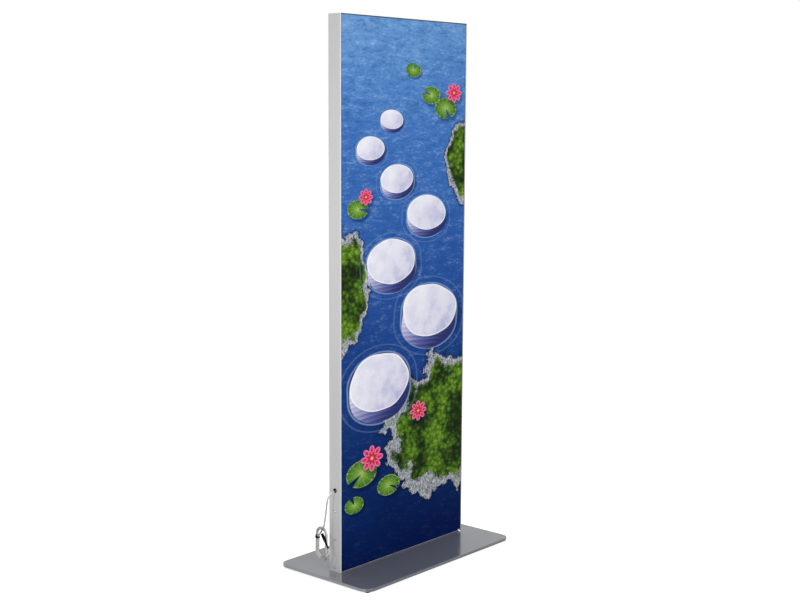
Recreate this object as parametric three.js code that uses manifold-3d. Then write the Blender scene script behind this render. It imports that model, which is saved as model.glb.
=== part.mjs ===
// LED light box totem: an upright aluminium frame with a lit textile print on both faces, carried by two
// steel uprights on a flat steel base plate. Millimetres. The origin is on the floor under the middle of
// the panel, +Z is up, the main print faces -Y and the supply lead leaves the side that faces -X.

import * as THREE from 'three';
import { mergeVertices } from 'three/addons/utils/BufferGeometryUtils.js';
import Module from 'manifold-3d';

const wasm = await Module();
wasm.setup();

// Clearances that every fit in the totem shares
const clear = 0.3;
const seatGap = 0.05;
const cutOverrun = 1;

// Panel
const panelWidth = 660;
const panelHeight = 1888;
const panelDepth = 55;

// Section of the frame profile, measured from its outer face inwards
const lipWall = 3;
const backWall = 2;
const grooveWidth = 4.3;
const grooveDepth = 15;
const ribWall = 1.5;
const ribSetBack = 1.8;
const webWall = 1.5;
const uprightChamber = 12;
const bracketChamber = 5.5;
const railWall = 1.2;
const railHook = 1.1;
const railHookWall = 1.3;
const mitreSetBack = 0.15;

// Textile prints with the flat silicone strips sewn to their edges
const printThickness = 0.5;
const printSetBack = 1;
const printHemDepth = 13;
const hemCornerNotch = 8;
const stripEdgeThickness = 2.9;
const stripEdgeDepth = 12;
const pullTabWidth = 8.6;
const pullTabRise = 4;
const pullTabReach = 10;
const pullTabThickness = 0.5;
const pullTabFromSide = 10.6;

// Corner brackets and the sockets of their flush grub screws
const bracketLeg = 60;
const grubDiameter = 4.4;
const grubSocketDiameter = 2.6;
const grubSocketDepth = 2.5;
const grubFirst = 30;
const grubPitch = 22;
const grubsPerLeg = 2;

// Base plate, pads and uprights
const plateLength = 790;
const plateWidth = 425;
const plateThickness = 10;
const plateCornerRadius = 38;
const plateChamfer = 0.8;
const padHeight = 5;
const padSide = 32;
const padInset = 13;
const padChamfer = 0.8;
const padsPerRow = 4;
const uprightHeight = 228;
const baseScrewFirst = 16;
const baseScrewPitch = 98.5;
const baseScrewsPerSide = 3;
const panHeadDiameter = 9;
const panHeadHeight = 2.8;
const panShankDiameter = 4;
const panShankLength = 10;
const panRecessDiameter = 3.4;
const panRecessDepth = 1.4;
const flatHeadDiameter = 9.6;
const flatHeadHeight = 2.8;
const flatShankDiameter = 4.4;
const flatShankLength = 26;
const flatScrewPitch = 11;
const flatRecessDiameter = 3.4;
const flatRecessDepth = 1.6;

// LED strips on the inner faces of the two long profiles
const boardThickness = 1.6;
const lensPitch = 65;
const lensDiameter = 15;
const lensHeight = 7.5;
const lensRim = 2;
const connectorLength = 12;
const connectorWidth = 8;
const connectorHeight = 5;
const connectorFromEnd = 9;
const connectorAside = 6;
const lowerStripStart = 75;
const stripFromCordHole = 17.5;
const stripFromFoot = 17;

// Crossbar at half height
const crossbarHeight = 25;
const crossbarDepth = 15;
const crossbarWall = 1.5;
const crossbarFootHeight = 48;
const crossbarFootDepth = 24;
const crossbarFootThickness = 2;
const crossbarSpigot = 18;
const crossbarScrewPitch = 37;
const crossbarScrewLength = 11;

// Junction box on the bottom profile
const junctionLength = 62;
const junctionWidth = 34;
const junctionHeight = 22;
const junctionLidThickness = 2.5;
const junctionBossDiameter = 11;
const junctionBossHeight = 6;
const junctionBossFromEnd = 14;
const wireDiameter = 2.4;
const leftLeadFromEnd = 20.7;
const rightLeadTurn = 95;
const jumperReach = 10;
const jumperAside = 13.5;
const jumperStub = 3;

// Supply lead
const cordDiameter = 5.2;
const cordHoleHeight = 287.5;
const cordBendRadius = 22;
const grommetBoreDiameter = 9.6;
const grommetFlangeDiameter = 15;
const grommetFlange = 1.2;
const grommetNeckDiameter = 12;
const grommetBack = 1.8;
const grommetBackDiameter = 13.6;
const webHoleDiameter = 10.8;

// Hank: the rest of the lead, folded into flat upright loops
const hankX = -374;
const hankY = 20.5;
const hankZ = 109.1;
const hankHalfRun = 29.8;
const hankFoldRadius = 14.1;
const hankPitch = 5.75;
const hankStartAbove = 15.7;
const hankLoops = 2;
const hankStepsPerLoop = 24;
const hankSides = 6;
const tieAboveStart = 3.8;
const tieWidth = 4.6;
const tieThickness = 1.2;
const tieHeadLength = 7;
const tieHeadDepth = 5;

// Low-voltage socket at the end of the lead
const socketBodyDiameter = 10;
const socketCollarDiameter = 10.6;
const socketWaistDiameter = 8;
const socketBodyLength = 33;
const socketReliefLength = 22.5;
const socketReliefEndDiameter = 6.6;
const socketReliefRibs = 4;
const socketReliefGroove = 0.8;
const socketBoreDiameter = 5.7;
const socketBoreDepth = 10;
const socketPinDiameter = 2.1;
const socketPinLength = 8;

// Places worked out from the sizes above
const halfWidth = panelWidth / 2;
const halfDepth = panelDepth / 2;
const grooveFloorAt = halfDepth - grooveDepth;
const chamberHalf = grooveFloorAt - webWall;
const ribAt = lipWall + grooveWidth;
const ribTipAt = halfDepth - ribSetBack;
const webAt = backWall + uprightChamber;
const bracketChamberAt = webAt + webWall;
const innerWebAt = bracketChamberAt + bracketChamber;
const innerFaceAt = innerWebAt + webWall;
const slotHalf = grooveFloorAt - railWall;
const hookHalf = slotHalf - railHook;
const hookUnder = innerFaceAt + boardThickness + 2 * clear;
const railTopAt = hookUnder + railHookWall;
const boardFaceAt = innerFaceAt + clear + boardThickness;
const connectorFaceAt = boardFaceAt + connectorHeight;
const floorToFrame = padHeight + plateThickness;
const crossbarAt = panelHeight / 2;
const crossbarFootLow = crossbarAt - crossbarFootHeight / 2;
const crossbarFootHigh = crossbarAt + crossbarFootHeight / 2;
const cordRadius = cordDiameter / 2;
const cordExitHeight = cordHoleHeight - grommetBoreDiameter / 2 + cordRadius + clear;
const grommetFaceX = -halfWidth - grommetFlange;

// Sides of the round pieces
const holeSides = 16;
const screwSides = 12;
const grubSides = 8;
const socketSides = 6;
const lensSides = 8;
const cordSides = 10;
const wireSides = 8;
const turnedSides = 16;
const cornerSteps = 6;

// Colours and finishes
const looks = {
  aluminium: { color: 0xb4b6b9, roughness: 0.42, metalness: 0.85 },
  castBracket: { color: 0x9a9b9d, roughness: 0.55, metalness: 0.8 },
  powderSteel: { color: 0x8f9094, roughness: 0.4, metalness: 0.45 },
  screwSteel: { color: 0xc9ccd0, roughness: 0.25, metalness: 1 },
  rubber: { color: 0x151515, roughness: 0.85, metalness: 0 },
  print: { color: 0x2d5ca8, roughness: 0.75, metalness: 0 },
  silicone: { color: 0xe3e3de, roughness: 0.6, metalness: 0 },
  tab: { color: 0xf0f0ee, roughness: 0.7, metalness: 0 },
  board: { color: 0xeeeeea, roughness: 0.5, metalness: 0 },
  lens: { color: 0xdfe6ea, roughness: 0.12, metalness: 0 },
  whitePlastic: { color: 0xe6e6e3, roughness: 0.5, metalness: 0 },
  cord: { color: 0xd9d9d4, roughness: 0.5, metalness: 0 },
  blackPlastic: { color: 0x101011, roughness: 0.45, metalness: 0 },
};

// Helpers: solids, cuts and placing

function toSolid(geometry) {
  const bare = geometry.clone();
  bare.deleteAttribute('normal');
  bare.deleteAttribute('uv');
  const merged = mergeVertices(bare);
  const index = merged.index.array;
  const triangles = [];
  for (let corner = 0; corner < index.length; corner += 3) {
    const [a, b, c] = [index[corner], index[corner + 1], index[corner + 2]];
    if (a !== b && b !== c && c !== a) triangles.push(a, b, c);
  }
  return new wasm.Manifold(new wasm.Mesh({
    numProp: 3,
    vertProperties: new Float32Array(merged.attributes.position.array),
    triVerts: new Uint32Array(triangles),
  }));
}

function fromSolid(solid) {
  const mesh = solid.getMesh();
  const geometry = new THREE.BufferGeometry();
  geometry.setAttribute('position', new THREE.BufferAttribute(new Float32Array(mesh.vertProperties), 3));
  geometry.setIndex(new THREE.BufferAttribute(new Uint32Array(mesh.triVerts), 1));
  geometry.computeVertexNormals();
  return geometry;
}

function joined(geometries) {
  return fromSolid(geometries.map(toSolid).reduce((whole, piece) => whole.add(piece)));
}

function cut(geometry, cutters) {
  return fromSolid(cutters.map(toSolid).reduce((whole, cutter) => whole.subtract(cutter), toSolid(geometry)));
}

function addPiece(parent, name, geometry, look) {
  const mesh = new THREE.Mesh(geometry, new THREE.MeshStandardMaterial(looks[look]));
  mesh.name = name;
  parent.add(mesh);
  return mesh;
}

function block(low, high) {
  const size = high.map((value, axis) => value - low[axis]);
  const geometry = new THREE.BoxGeometry(...size);
  geometry.translate(...low.map((value, axis) => value + size[axis] / 2));
  return geometry;
}

// A geometry made along +Y from the origin, turned so that +Y points from start towards end
function aimed(geometry, start, end) {
  const from = new THREE.Vector3(...start);
  const direction = new THREE.Vector3(...end).sub(from).normalize();
  geometry.applyQuaternion(new THREE.Quaternion().setFromUnitVectors(new THREE.Vector3(0, 1, 0), direction));
  geometry.translate(from.x, from.y, from.z);
  return geometry;
}

function rod(diameter, start, end, sides) {
  const length = new THREE.Vector3(...start).distanceTo(new THREE.Vector3(...end));
  const geometry = new THREE.CylinderGeometry(diameter / 2, diameter / 2, length, sides);
  geometry.translate(0, length / 2, 0);
  return aimed(geometry, start, end);
}

function revolved(outline, sides) {
  return new THREE.LatheGeometry(outline.map(([radius, height]) => new THREE.Vector2(radius, height)), sides);
}

function tube(curve, diameter, sides, steps) {
  const ring = new THREE.Shape();
  for (let side = 0; side < sides; side += 1) {
    const angle = 2 * Math.PI * side / sides;
    ring[side ? 'lineTo' : 'moveTo'](Math.cos(angle) * diameter / 2, Math.sin(angle) * diameter / 2);
  }
  return new THREE.ExtrudeGeometry(ring, { steps, bevelEnabled: false, extrudePath: curve });
}

function smoothRoute(points) {
  return new THREE.CatmullRomCurve3(points.map((point) => new THREE.Vector3(...point)), false, 'centripetal');
}

// x of a place on the left (side -1) or right (side 1) profile, at a depth inwards from its outer face
function inwards(side, depth) {
  return side * (halfWidth - depth);
}

// Frame profiles: one extruded section, mitred at both ends

function profileSection() {
  const half = [
    [0, halfDepth],
    [lipWall, halfDepth],
    [lipWall, grooveFloorAt],
    [ribAt, grooveFloorAt],
    [ribAt, ribTipAt],
    [ribAt + ribWall, ribTipAt],
    [ribAt + ribWall, grooveFloorAt],
    [railTopAt, grooveFloorAt],
    [railTopAt, hookHalf],
    [hookUnder, hookHalf],
    [hookUnder, slotHalf],
    [innerFaceAt, slotHalf],
  ];
  const mirrored = half.map(([depth, across]) => [depth, -across]).reverse();
  return new THREE.Shape(half.concat(mirrored).map(([x, y]) => new THREE.Vector2(x, y)));
}

// The outer chamber takes the uprights and the inner one the corner brackets, along the whole bar
function chambers(length) {
  return [[backWall, webAt], [bracketChamberAt, innerWebAt]].map(([near, far]) => block(
    [near, -chamberHalf, -cutOverrun],
    [far, chamberHalf, length + cutOverrun],
  ));
}

// Each end slides along the bar by its depth from the outer face, which is a 45 degree mitre
function mitredBar(length) {
  const geometry = new THREE.ExtrudeGeometry(profileSection(), { depth: length, bevelEnabled: false });
  const position = geometry.attributes.position;
  for (let corner = 0; corner < position.count; corner += 1) {
    const slide = position.getX(corner) + mitreSetBack;
    const along = position.getZ(corner);
    position.setZ(corner, along < length / 2 ? along + slide : along - slide);
  }
  return geometry;
}

// Holes in profile coordinates: depth from the outer face, across, along the bar

function grubHoles(length) {
  const holes = [];
  for (let grub = 0; grub < grubsPerLeg; grub += 1) {
    const fromEnd = grubFirst + grub * grubPitch;
    for (const along of [fromEnd, length - fromEnd]) {
      const start = [innerWebAt - cutOverrun, 0, along];
      const end = [innerFaceAt + cutOverrun, 0, along];
      holes.push(rod(grubDiameter + 2 * clear, start, end, grubSides));
    }
  }
  return holes;
}

function baseScrewHeights() {
  return Array.from({ length: baseScrewsPerSide }, (_, screw) => baseScrewFirst + screw * baseScrewPitch);
}

function crossbarScrewHeights() {
  return [crossbarAt - crossbarScrewPitch / 2, crossbarAt + crossbarScrewPitch / 2];
}

function sideProfileHoles() {
  const holes = grubHoles(panelHeight);
  for (const height of baseScrewHeights()) {
    const start = [-cutOverrun, 0, height];
    holes.push(rod(panShankDiameter + 2 * clear, start, [backWall + cutOverrun, 0, height], holeSides));
  }
  for (const height of crossbarScrewHeights()) {
    const start = [innerWebAt - cutOverrun, 0, height];
    holes.push(rod(panShankDiameter + 2 * clear, start, [innerFaceAt + cutOverrun, 0, height], grubSides));
  }
  return holes;
}

function cordHoles() {
  const wallStart = [-cutOverrun, 0, cordHoleHeight];
  const wallEnd = [backWall + cutOverrun, 0, cordHoleHeight];
  const webStart = [webAt - cutOverrun, 0, cordHoleHeight];
  const webEnd = [railTopAt + cutOverrun, 0, cordHoleHeight];
  return [
    rod(grommetNeckDiameter + 2 * clear, wallStart, wallEnd, holeSides),
    rod(webHoleDiameter, webStart, webEnd, holeSides),
  ];
}

// The uprights pass through the outer wall of the bottom profile at both of its ends
function uprightSlots() {
  return [[backWall, webAt], [panelWidth - webAt, panelWidth - backWall]].map(([near, far]) => block(
    [-cutOverrun, -chamberHalf, near],
    [backWall + cutOverrun, chamberHalf, far],
  ));
}

function addProfiles(frame) {
  const x = new THREE.Vector3(1, 0, 0);
  const y = new THREE.Vector3(0, 1, 0);
  const z = new THREE.Vector3(0, 0, 1);
  const sideHoles = sideProfileHoles();
  const flatHoles = grubHoles(panelWidth);
  const back = (axis) => axis.clone().negate();
  const bars = [
    ['left_profile', panelHeight, sideHoles.concat(cordHoles()), [x, y, z], [-halfWidth, 0, 0]],
    ['right_profile', panelHeight, sideHoles, [back(x), back(y), z], [halfWidth, 0, 0]],
    ['bottom_profile', panelWidth, flatHoles.concat(uprightSlots()), [z, back(y), x], [-halfWidth, 0, 0]],
    ['top_profile', panelWidth, flatHoles, [back(z), y, x], [-halfWidth, 0, panelHeight]],
  ];
  for (const [name, length, holes, axes, corner] of bars) {
    const bar = addPiece(frame, name, cut(mitredBar(length), chambers(length).concat(holes)), 'aluminium');
    bar.applyMatrix4(new THREE.Matrix4().makeBasis(...axes).setPosition(...corner));
  }
}

// Corner brackets: an L that fills the inner chamber of both profiles, with its grub screws driven flush

const cornerNames = [
  ['bottom_left', -1, -1],
  ['bottom_right', 1, -1],
  ['top_left', -1, 1],
  ['top_right', 1, 1],
];

// A place near a corner, given as its depths inwards from the side and from the bottom or top
function cornerPlace(side, end, fromSide, across, fromEnd) {
  return [inwards(side, fromSide), across, end < 0 ? fromEnd : panelHeight - fromEnd];
}

function cornerBlock(side, end, fromSide, fromEnd) {
  const across = chamberHalf - clear;
  const first = cornerPlace(side, end, fromSide[0], -across, fromEnd[0]);
  const second = cornerPlace(side, end, fromSide[1], across, fromEnd[1]);
  return block(first.map((value, axis) => Math.min(value, second[axis])),
    first.map((value, axis) => Math.max(value, second[axis])));
}

function grubPlaces(side, end) {
  const places = [];
  for (let grub = 0; grub < grubsPerLeg; grub += 1) {
    const reach = grubFirst + grub * grubPitch;
    places.push((depth) => cornerPlace(side, end, depth, 0, reach));
    places.push((depth) => cornerPlace(side, end, reach, 0, depth));
  }
  return places;
}

function addCorners(frame) {
  const near = bracketChamberAt + clear;
  const far = innerWebAt - clear;
  for (const [name, side, end] of cornerNames) {
    const legs = joined([
      cornerBlock(side, end, [near, far], [near, near + bracketLeg]),
      cornerBlock(side, end, [near, near + bracketLeg], [near, far]),
    ]);
    const sockets = grubPlaces(side, end).map((place) => rod(
      grubSocketDiameter, place(far - grubSocketDepth), place(far + cutOverrun), socketSides));
    addPiece(frame, `${name}_bracket`, cut(legs, sockets), 'castBracket');
  }
}

// Textile prints: a taut sheet whose hem turns into the groove, with a silicone strip sewn round its edge

function addPrint(frame, name, facing) {
  const face = facing * (halfDepth - printSetBack);
  const back = face - facing * printThickness;
  const hemEnd = face - facing * printHemDepth;
  const edge = lipWall + clear;
  const inner = edge + printThickness;
  const between = (a, b) => [Math.min(a, b), Math.max(a, b)];
  const slab = (xs, ys, zs) => block([xs[0], ys[0], zs[0]], [xs[1], ys[1], zs[1]]);
  const sheetX = [-halfWidth + edge, halfWidth - edge];
  const sheetZ = [edge, panelHeight - edge];
  const hemX = [sheetX[0] + hemCornerNotch, sheetX[1] - hemCornerNotch];
  const hemZ = [sheetZ[0] + hemCornerNotch, sheetZ[1] - hemCornerNotch];
  addPiece(frame, `${name}_print`, joined([
    slab(sheetX, between(face, back), sheetZ),
    slab([sheetX[0], -halfWidth + inner], between(face, hemEnd), hemZ),
    slab([halfWidth - inner, sheetX[1]], between(face, hemEnd), hemZ),
    slab(hemX, between(face, hemEnd), [sheetZ[0], inner]),
    slab(hemX, between(face, hemEnd), [panelHeight - inner, sheetZ[1]]),
  ]), 'print');

  const stripNear = inner + clear;
  const stripFar = stripNear + stripEdgeThickness;
  const deep = facing * (grooveFloorAt + clear);
  const stripY = between(deep, deep + facing * stripEdgeDepth);
  const ringSpan = (inset) => [[-halfWidth + inset, halfWidth - inset], [inset, panelHeight - inset]];
  const [outerX, outerZ] = ringSpan(stripNear);
  const [innerX, innerZ] = ringSpan(stripFar);
  const openY = [stripY[0] - cutOverrun, stripY[1] + cutOverrun];
  addPiece(frame, `${name}_edge_strip`,
    cut(slab(outerX, stripY, outerZ), [slab(innerX, openY, innerZ)]), 'silicone');

  addPiece(frame, `${name}_pull_tab`, pullTab(facing), 'tab');
}

// The tab comes out between print and lip and droops onto the plate. Its underside is given as
// [share of its reach, share of its height].
const tabUndersideShares = [[0, 1], [0.02, 0.62], [0.1, 0.46], [0.3, 0.34], [0.65, 0.17], [1, 0]];

function pullTab(facing) {
  const root = halfDepth - printSetBack + clear;
  const reach = halfDepth + pullTabReach - root;
  const low = clear;
  const rise = lipWall + pullTabRise - low;
  const under = tabUndersideShares.map(([out, up]) => [root + out * reach, low + up * rise]);
  const over = under.map(([out, up]) => [out + pullTabThickness, up + pullTabThickness]).reverse();
  const outline = new THREE.Shape(under.concat(over).map(([out, up]) => new THREE.Vector2(out, up)));
  const strip = new THREE.ExtrudeGeometry(outline, { depth: pullTabWidth, bevelEnabled: false });
  const axes = new THREE.Matrix4().makeBasis(
    new THREE.Vector3(0, facing, 0), new THREE.Vector3(0, 0, 1), new THREE.Vector3(facing, 0, 0));
  return strip.applyMatrix4(axes.setPosition(-facing * (halfWidth - pullTabFromSide), 0, 0));
}

// LED strips: board with a connector near each end, and one lens over each LED

function stripLength(lenses) {
  return lenses * lensPitch;
}

// Each strip has as many lenses as its stretch of the profile has room for
function stripPlaces() {
  const middle = cordHoleHeight + stripFromCordHole;
  const upper = crossbarFootHigh + stripFromFoot;
  const lensesTo = (start, end) => Math.floor((end - start) / lensPitch);
  return [
    ['lower', lowerStripStart, lensesTo(lowerStripStart, cordHoleHeight - webHoleDiameter)],
    ['middle', middle, lensesTo(middle, crossbarFootLow - stripFromFoot)],
    ['upper', upper, lensesTo(upper, panelHeight - railTopAt)],
  ];
}

function connectorHeights(start, lenses) {
  return [start + connectorFromEnd, start + stripLength(lenses) - connectorFromEnd];
}

const lensShoulderShare = 0.8;
const lensDishShare = 0.86;

function lensOn(side, height) {
  const radius = lensDiameter / 2;
  const outline = [
    [0, -boardThickness / 2],
    [radius, -boardThickness / 2],
    [radius, lensRim],
    [radius * lensShoulderShare, lensHeight],
    [0, lensHeight * lensDishShare],
  ];
  return aimed(revolved(outline, lensSides), [inwards(side, boardFaceAt), 0, height], [0, 0, height]);
}

function ledStrip(side, start, lenses) {
  const across = slotHalf - clear;
  const boardX = [inwards(side, innerFaceAt + clear), inwards(side, boardFaceAt)];
  const socketX = [inwards(side, innerFaceAt + clear), inwards(side, connectorFaceAt)];
  const pieces = [block(
    [Math.min(...boardX), -across, start],
    [Math.max(...boardX), across, start + stripLength(lenses)],
  )];
  for (const height of connectorHeights(start, lenses)) {
    pieces.push(block(
      [Math.min(...socketX), connectorAside - connectorWidth / 2, height - connectorLength / 2],
      [Math.max(...socketX), connectorAside + connectorWidth / 2, height + connectorLength / 2],
    ));
  }
  for (let lens = 0; lens < lenses; lens += 1) {
    pieces.push(lensOn(side, start + lens * lensPitch + lensPitch / 2));
  }
  return joined(pieces);
}

function jumper(side, low, high) {
  const start = connectorFaceAt + clear;
  const middle = (low + high) / 2;
  const bent = (connectorAside + jumperAside) / 2;
  const route = [
    [start, connectorAside, low],
    [start + jumperStub, connectorAside, low],
    [start + jumperReach, bent, low + jumperReach],
    [start + jumperReach, jumperAside, middle],
    [start + jumperReach, bent, high - jumperReach],
    [start + jumperStub, connectorAside, high],
    [start, connectorAside, high],
  ].map(([depth, across, height]) => [inwards(side, depth), across, height]);
  return tube(smoothRoute(route), wireDiameter, wireSides, 16);
}

function addLights(frame) {
  const strips = stripPlaces();
  for (const [sideName, side] of [['left', -1], ['right', 1]]) {
    for (const [name, start, lenses] of strips) {
      addPiece(frame, `${sideName}_${name}_led_strip`, ledStrip(side, start, lenses), 'board');
    }
    const [lower, middle, upper] = strips.map(([, start, lenses]) => connectorHeights(start, lenses));
    addPiece(frame, `${sideName}_lower_led_jumper`, jumper(side, lower[1], middle[0]), 'cord');
    addPiece(frame, `${sideName}_upper_led_jumper`, jumper(side, middle[1], upper[0]), 'cord');
  }
}

// Crossbar: a flat tube between two feet, each with the two screws that hold it to its long profile

function panScrew(shankLength, base, towards) {
  const head = panHeadDiameter / 2;
  const shank = panShankDiameter / 2;
  const recess = panRecessDiameter / 2;
  const edgeShare = 0.4;
  const crownShare = 0.86;
  const outline = [
    [0, -shankLength],
    [shank, -shankLength],
    [shank, seatGap],
    [head, seatGap],
    [head, panHeadHeight * edgeShare],
    [head * crownShare, panHeadHeight * crownShare],
    [recess, panHeadHeight],
    [recess, panHeadHeight - panRecessDepth],
    [0, panHeadHeight - panRecessDepth],
  ];
  return aimed(revolved(outline, screwSides), base, towards);
}

function addCrossbar(frame) {
  const footAt = railTopAt + clear;
  const barAt = footAt + crossbarFootThickness + clear;
  const outerHalf = [crossbarDepth / 2, crossbarHeight / 2];
  const innerHalf = outerHalf.map((half) => half - crossbarWall);
  const spigotHalf = innerHalf.map((half) => half - clear);
  const bar = block(
    [-inwards(1, barAt), -outerHalf[0], crossbarAt - outerHalf[1]],
    [inwards(1, barAt), outerHalf[0], crossbarAt + outerHalf[1]],
  );
  const bore = block(
    [-halfWidth, -innerHalf[0], crossbarAt - innerHalf[1]],
    [halfWidth, innerHalf[0], crossbarAt + innerHalf[1]],
  );
  addPiece(frame, 'crossbar', cut(bar, [bore]), 'aluminium');

  for (const [name, side] of [['left', -1], ['right', 1]]) {
    const plateX = [inwards(side, footAt), inwards(side, footAt + crossbarFootThickness)];
    const spigotX = [inwards(side, footAt), inwards(side, barAt + crossbarSpigot)];
    const screws = crossbarScrewHeights().map((height) => panScrew(
      crossbarScrewLength,
      [inwards(side, footAt + crossbarFootThickness - seatGap), 0, height],
      [0, 0, height],
    ));
    addPiece(frame, `${name}_crossbar_foot`, joined([
      block(
        [Math.min(...plateX), -crossbarFootDepth / 2, crossbarFootLow],
        [Math.max(...plateX), crossbarFootDepth / 2, crossbarFootHigh],
      ),
      block(
        [Math.min(...spigotX), -spigotHalf[0], crossbarAt - spigotHalf[1]],
        [Math.max(...spigotX), spigotHalf[0], crossbarAt + spigotHalf[1]],
      ),
      ...screws,
    ]), 'castBracket');
  }
}

// Junction box in the slot of the bottom profile, and the leads inside the frame

const supplyDropX = inwards(-1, railTopAt + wireDiameter + clear + cordBendRadius);
const junctionLeft = supplyDropX - junctionBossFromEnd;
const junctionRight = junctionLeft + junctionLength;
const junctionLidAt = railTopAt + clear + junctionHeight + seatGap;
const junctionTop = junctionLidAt + junctionLidThickness;
const supplyLeadEnd = junctionTop + junctionBossHeight + clear;

function addJunction(frame) {
  const footHalf = hookHalf - clear;
  addPiece(frame, 'junction_box', joined([
    block(
      [junctionLeft, -footHalf, innerFaceAt + clear],
      [junctionRight, footHalf, railTopAt + junctionHeight / 2],
    ),
    block(
      [junctionLeft, -junctionWidth / 2, railTopAt + clear],
      [junctionRight, junctionWidth / 2, railTopAt + clear + junctionHeight],
    ),
  ]), 'whitePlastic');
  addPiece(frame, 'junction_lid', joined([
    block(
      [junctionLeft, -junctionWidth / 2, junctionLidAt],
      [junctionRight, junctionWidth / 2, junctionTop],
    ),
    rod(
      junctionBossDiameter,
      [supplyDropX, 0, junctionLidAt + junctionLidThickness / 2],
      [supplyDropX, 0, junctionTop + junctionBossHeight],
      screwSides,
    ),
  ]), 'whitePlastic');
}

// The lead lies low in the grommet, comes straight in, turns down and ends on the boss of the lid
function supplyRoute() {
  const route = new THREE.CurvePath();
  const bendX = supplyDropX - cordBendRadius;
  const bendZ = cordExitHeight - cordBendRadius;
  const corner = new THREE.Vector3(supplyDropX, 0, cordExitHeight);
  const bendStart = new THREE.Vector3(bendX, 0, cordExitHeight);
  const bendEnd = new THREE.Vector3(supplyDropX, 0, bendZ);
  route.add(new THREE.LineCurve3(new THREE.Vector3(grommetFaceX, 0, cordExitHeight), bendStart));
  route.add(new THREE.QuadraticBezierCurve3(bendStart, corner, bendEnd));
  route.add(new THREE.LineCurve3(bendEnd, new THREE.Vector3(supplyDropX, 0, supplyLeadEnd)));
  return route;
}

// Shares of the left LED lead: inwards from its socket to the lid, and up from the lid to the socket
const leftLeadShares = [[1, 0], [1, 0.239], [0.969, 0.513], [0.814, 0.848], [0.565, 1], [0.172, 1], [0, 1]];

// Shares of the right LED lead past its turn: outwards to the socket, across, and up from the bottom profile
const rightLeadShares = [
  [0, 0, 0],
  [0.199, 0, 0.007],
  [0.383, 0.05, 0.033],
  [0.551, 0.133, 0.117],
  [0.674, 0.333, 0.283],
  [0.735, 0.667, 0.533],
  [0.781, 0.933, 0.833],
  [0.873, 1, 0.975],
  [0.934, 1, 1],
  [1, 1, 1],
];
const rightLeadRunShares = [0, 0.12, 0.5, 0.88];

function addInnerLeads(frame) {
  addPiece(frame, 'supply_lead_inner', tube(supplyRoute(), cordDiameter, cordSides, 30), 'cord');

  const [[, start, lenses]] = stripPlaces();
  const connector = connectorHeights(start, lenses)[0];
  const socket = inwards(1, connectorFaceAt + clear);
  const lidTop = junctionTop + clear;
  const leftReach = socket + junctionRight - leftLeadFromEnd;
  const leftLead = smoothRoute(leftLeadShares.map(([inward, up]) => [
    -socket + inward * leftReach,
    connectorAside,
    lidTop + up * (connector - lidTop),
  ]));
  const wireBed = innerFaceAt + clear + wireDiameter / 2;
  const runStart = junctionRight + clear;
  const turn = inwards(1, rightLeadTurn);
  const rightLead = smoothRoute([
    ...rightLeadRunShares.map((share) => [runStart + share * (turn - runStart), 0, wireBed]),
    ...rightLeadShares.map(([outward, aside, up]) => [
      turn + outward * (socket - turn),
      aside * connectorAside,
      wireBed + up * (connector - wireBed),
    ]),
  ]);
  addPiece(frame, 'left_led_lead', tube(leftLead, wireDiameter, wireSides, 20), 'cord');
  addPiece(frame, 'right_led_lead', tube(rightLead, wireDiameter, wireSides, 40), 'cord');
}

// Base: steel plate on rubber pads, with an upright screwed on from below at each end of the panel

function roundedPlate(length, width, radius) {
  const shape = new THREE.Shape();
  const x = length / 2;
  const y = width / 2;
  shape.moveTo(x - radius, -y);
  shape.absarc(x - radius, -y + radius, radius, -Math.PI / 2, 0);
  shape.absarc(x - radius, y - radius, radius, 0, Math.PI / 2);
  shape.absarc(-x + radius, y - radius, radius, Math.PI / 2, Math.PI);
  shape.absarc(-x + radius, -y + radius, radius, Math.PI, 1.5 * Math.PI);
  return shape;
}

function chamferedSlab(shape, thickness, chamfer) {
  return new THREE.ExtrudeGeometry(shape, {
    depth: thickness - 2 * chamfer,
    bevelThickness: chamfer,
    bevelSize: chamfer,
    bevelOffset: -chamfer,
    bevelSegments: 1,
    curveSegments: cornerSteps,
  }).translate(0, 0, chamfer);
}

function uprightCentreX(side) {
  return inwards(side, (backWall + webAt) / 2);
}

function flatScrewOutline(gap, length) {
  const head = flatHeadDiameter / 2 + gap;
  const shank = flatShankDiameter / 2 + gap;
  return { head, shank, cone: flatHeadHeight + gap, length: length + gap };
}

// The screw points up from the underside of the plate, with its flat head set in the countersink
function flatScrew(x, y) {
  const { head, shank, cone, length } = flatScrewOutline(0, flatShankLength);
  const recess = flatRecessDiameter / 2;
  const outline = [
    [0, flatRecessDepth],
    [recess, flatRecessDepth],
    [recess, 0],
    [head, 0],
    [shank, cone],
    [shank, length],
    [0, length],
  ];
  return aimed(revolved(outline, screwSides), [x, y, padHeight + clear], [x, y, floorToFrame]);
}

function flatScrewHole(x, y) {
  const { head, shank, cone, length } = flatScrewOutline(clear, flatShankLength);
  const outline = [[0, -cutOverrun], [head, -cutOverrun], [head, clear], [shank, clear + cone],
    [shank, clear + length], [0, clear + length]];
  return aimed(revolved(outline, screwSides), [x, y, padHeight], [x, y, floorToFrame]);
}

function flatScrewPlaces(side) {
  return [-flatScrewPitch / 2, flatScrewPitch / 2].map((y) => [uprightCentreX(side), y]);
}

function padPlaces() {
  const reach = plateLength / 2 - padInset - padSide / 2;
  const across = plateWidth / 2 - padInset - padSide / 2;
  const places = [];
  for (let pad = 0; pad < padsPerRow; pad += 1) {
    const x = -reach + 2 * reach * pad / (padsPerRow - 1);
    places.push([x, -across], [x, across]);
  }
  return places;
}

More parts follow.
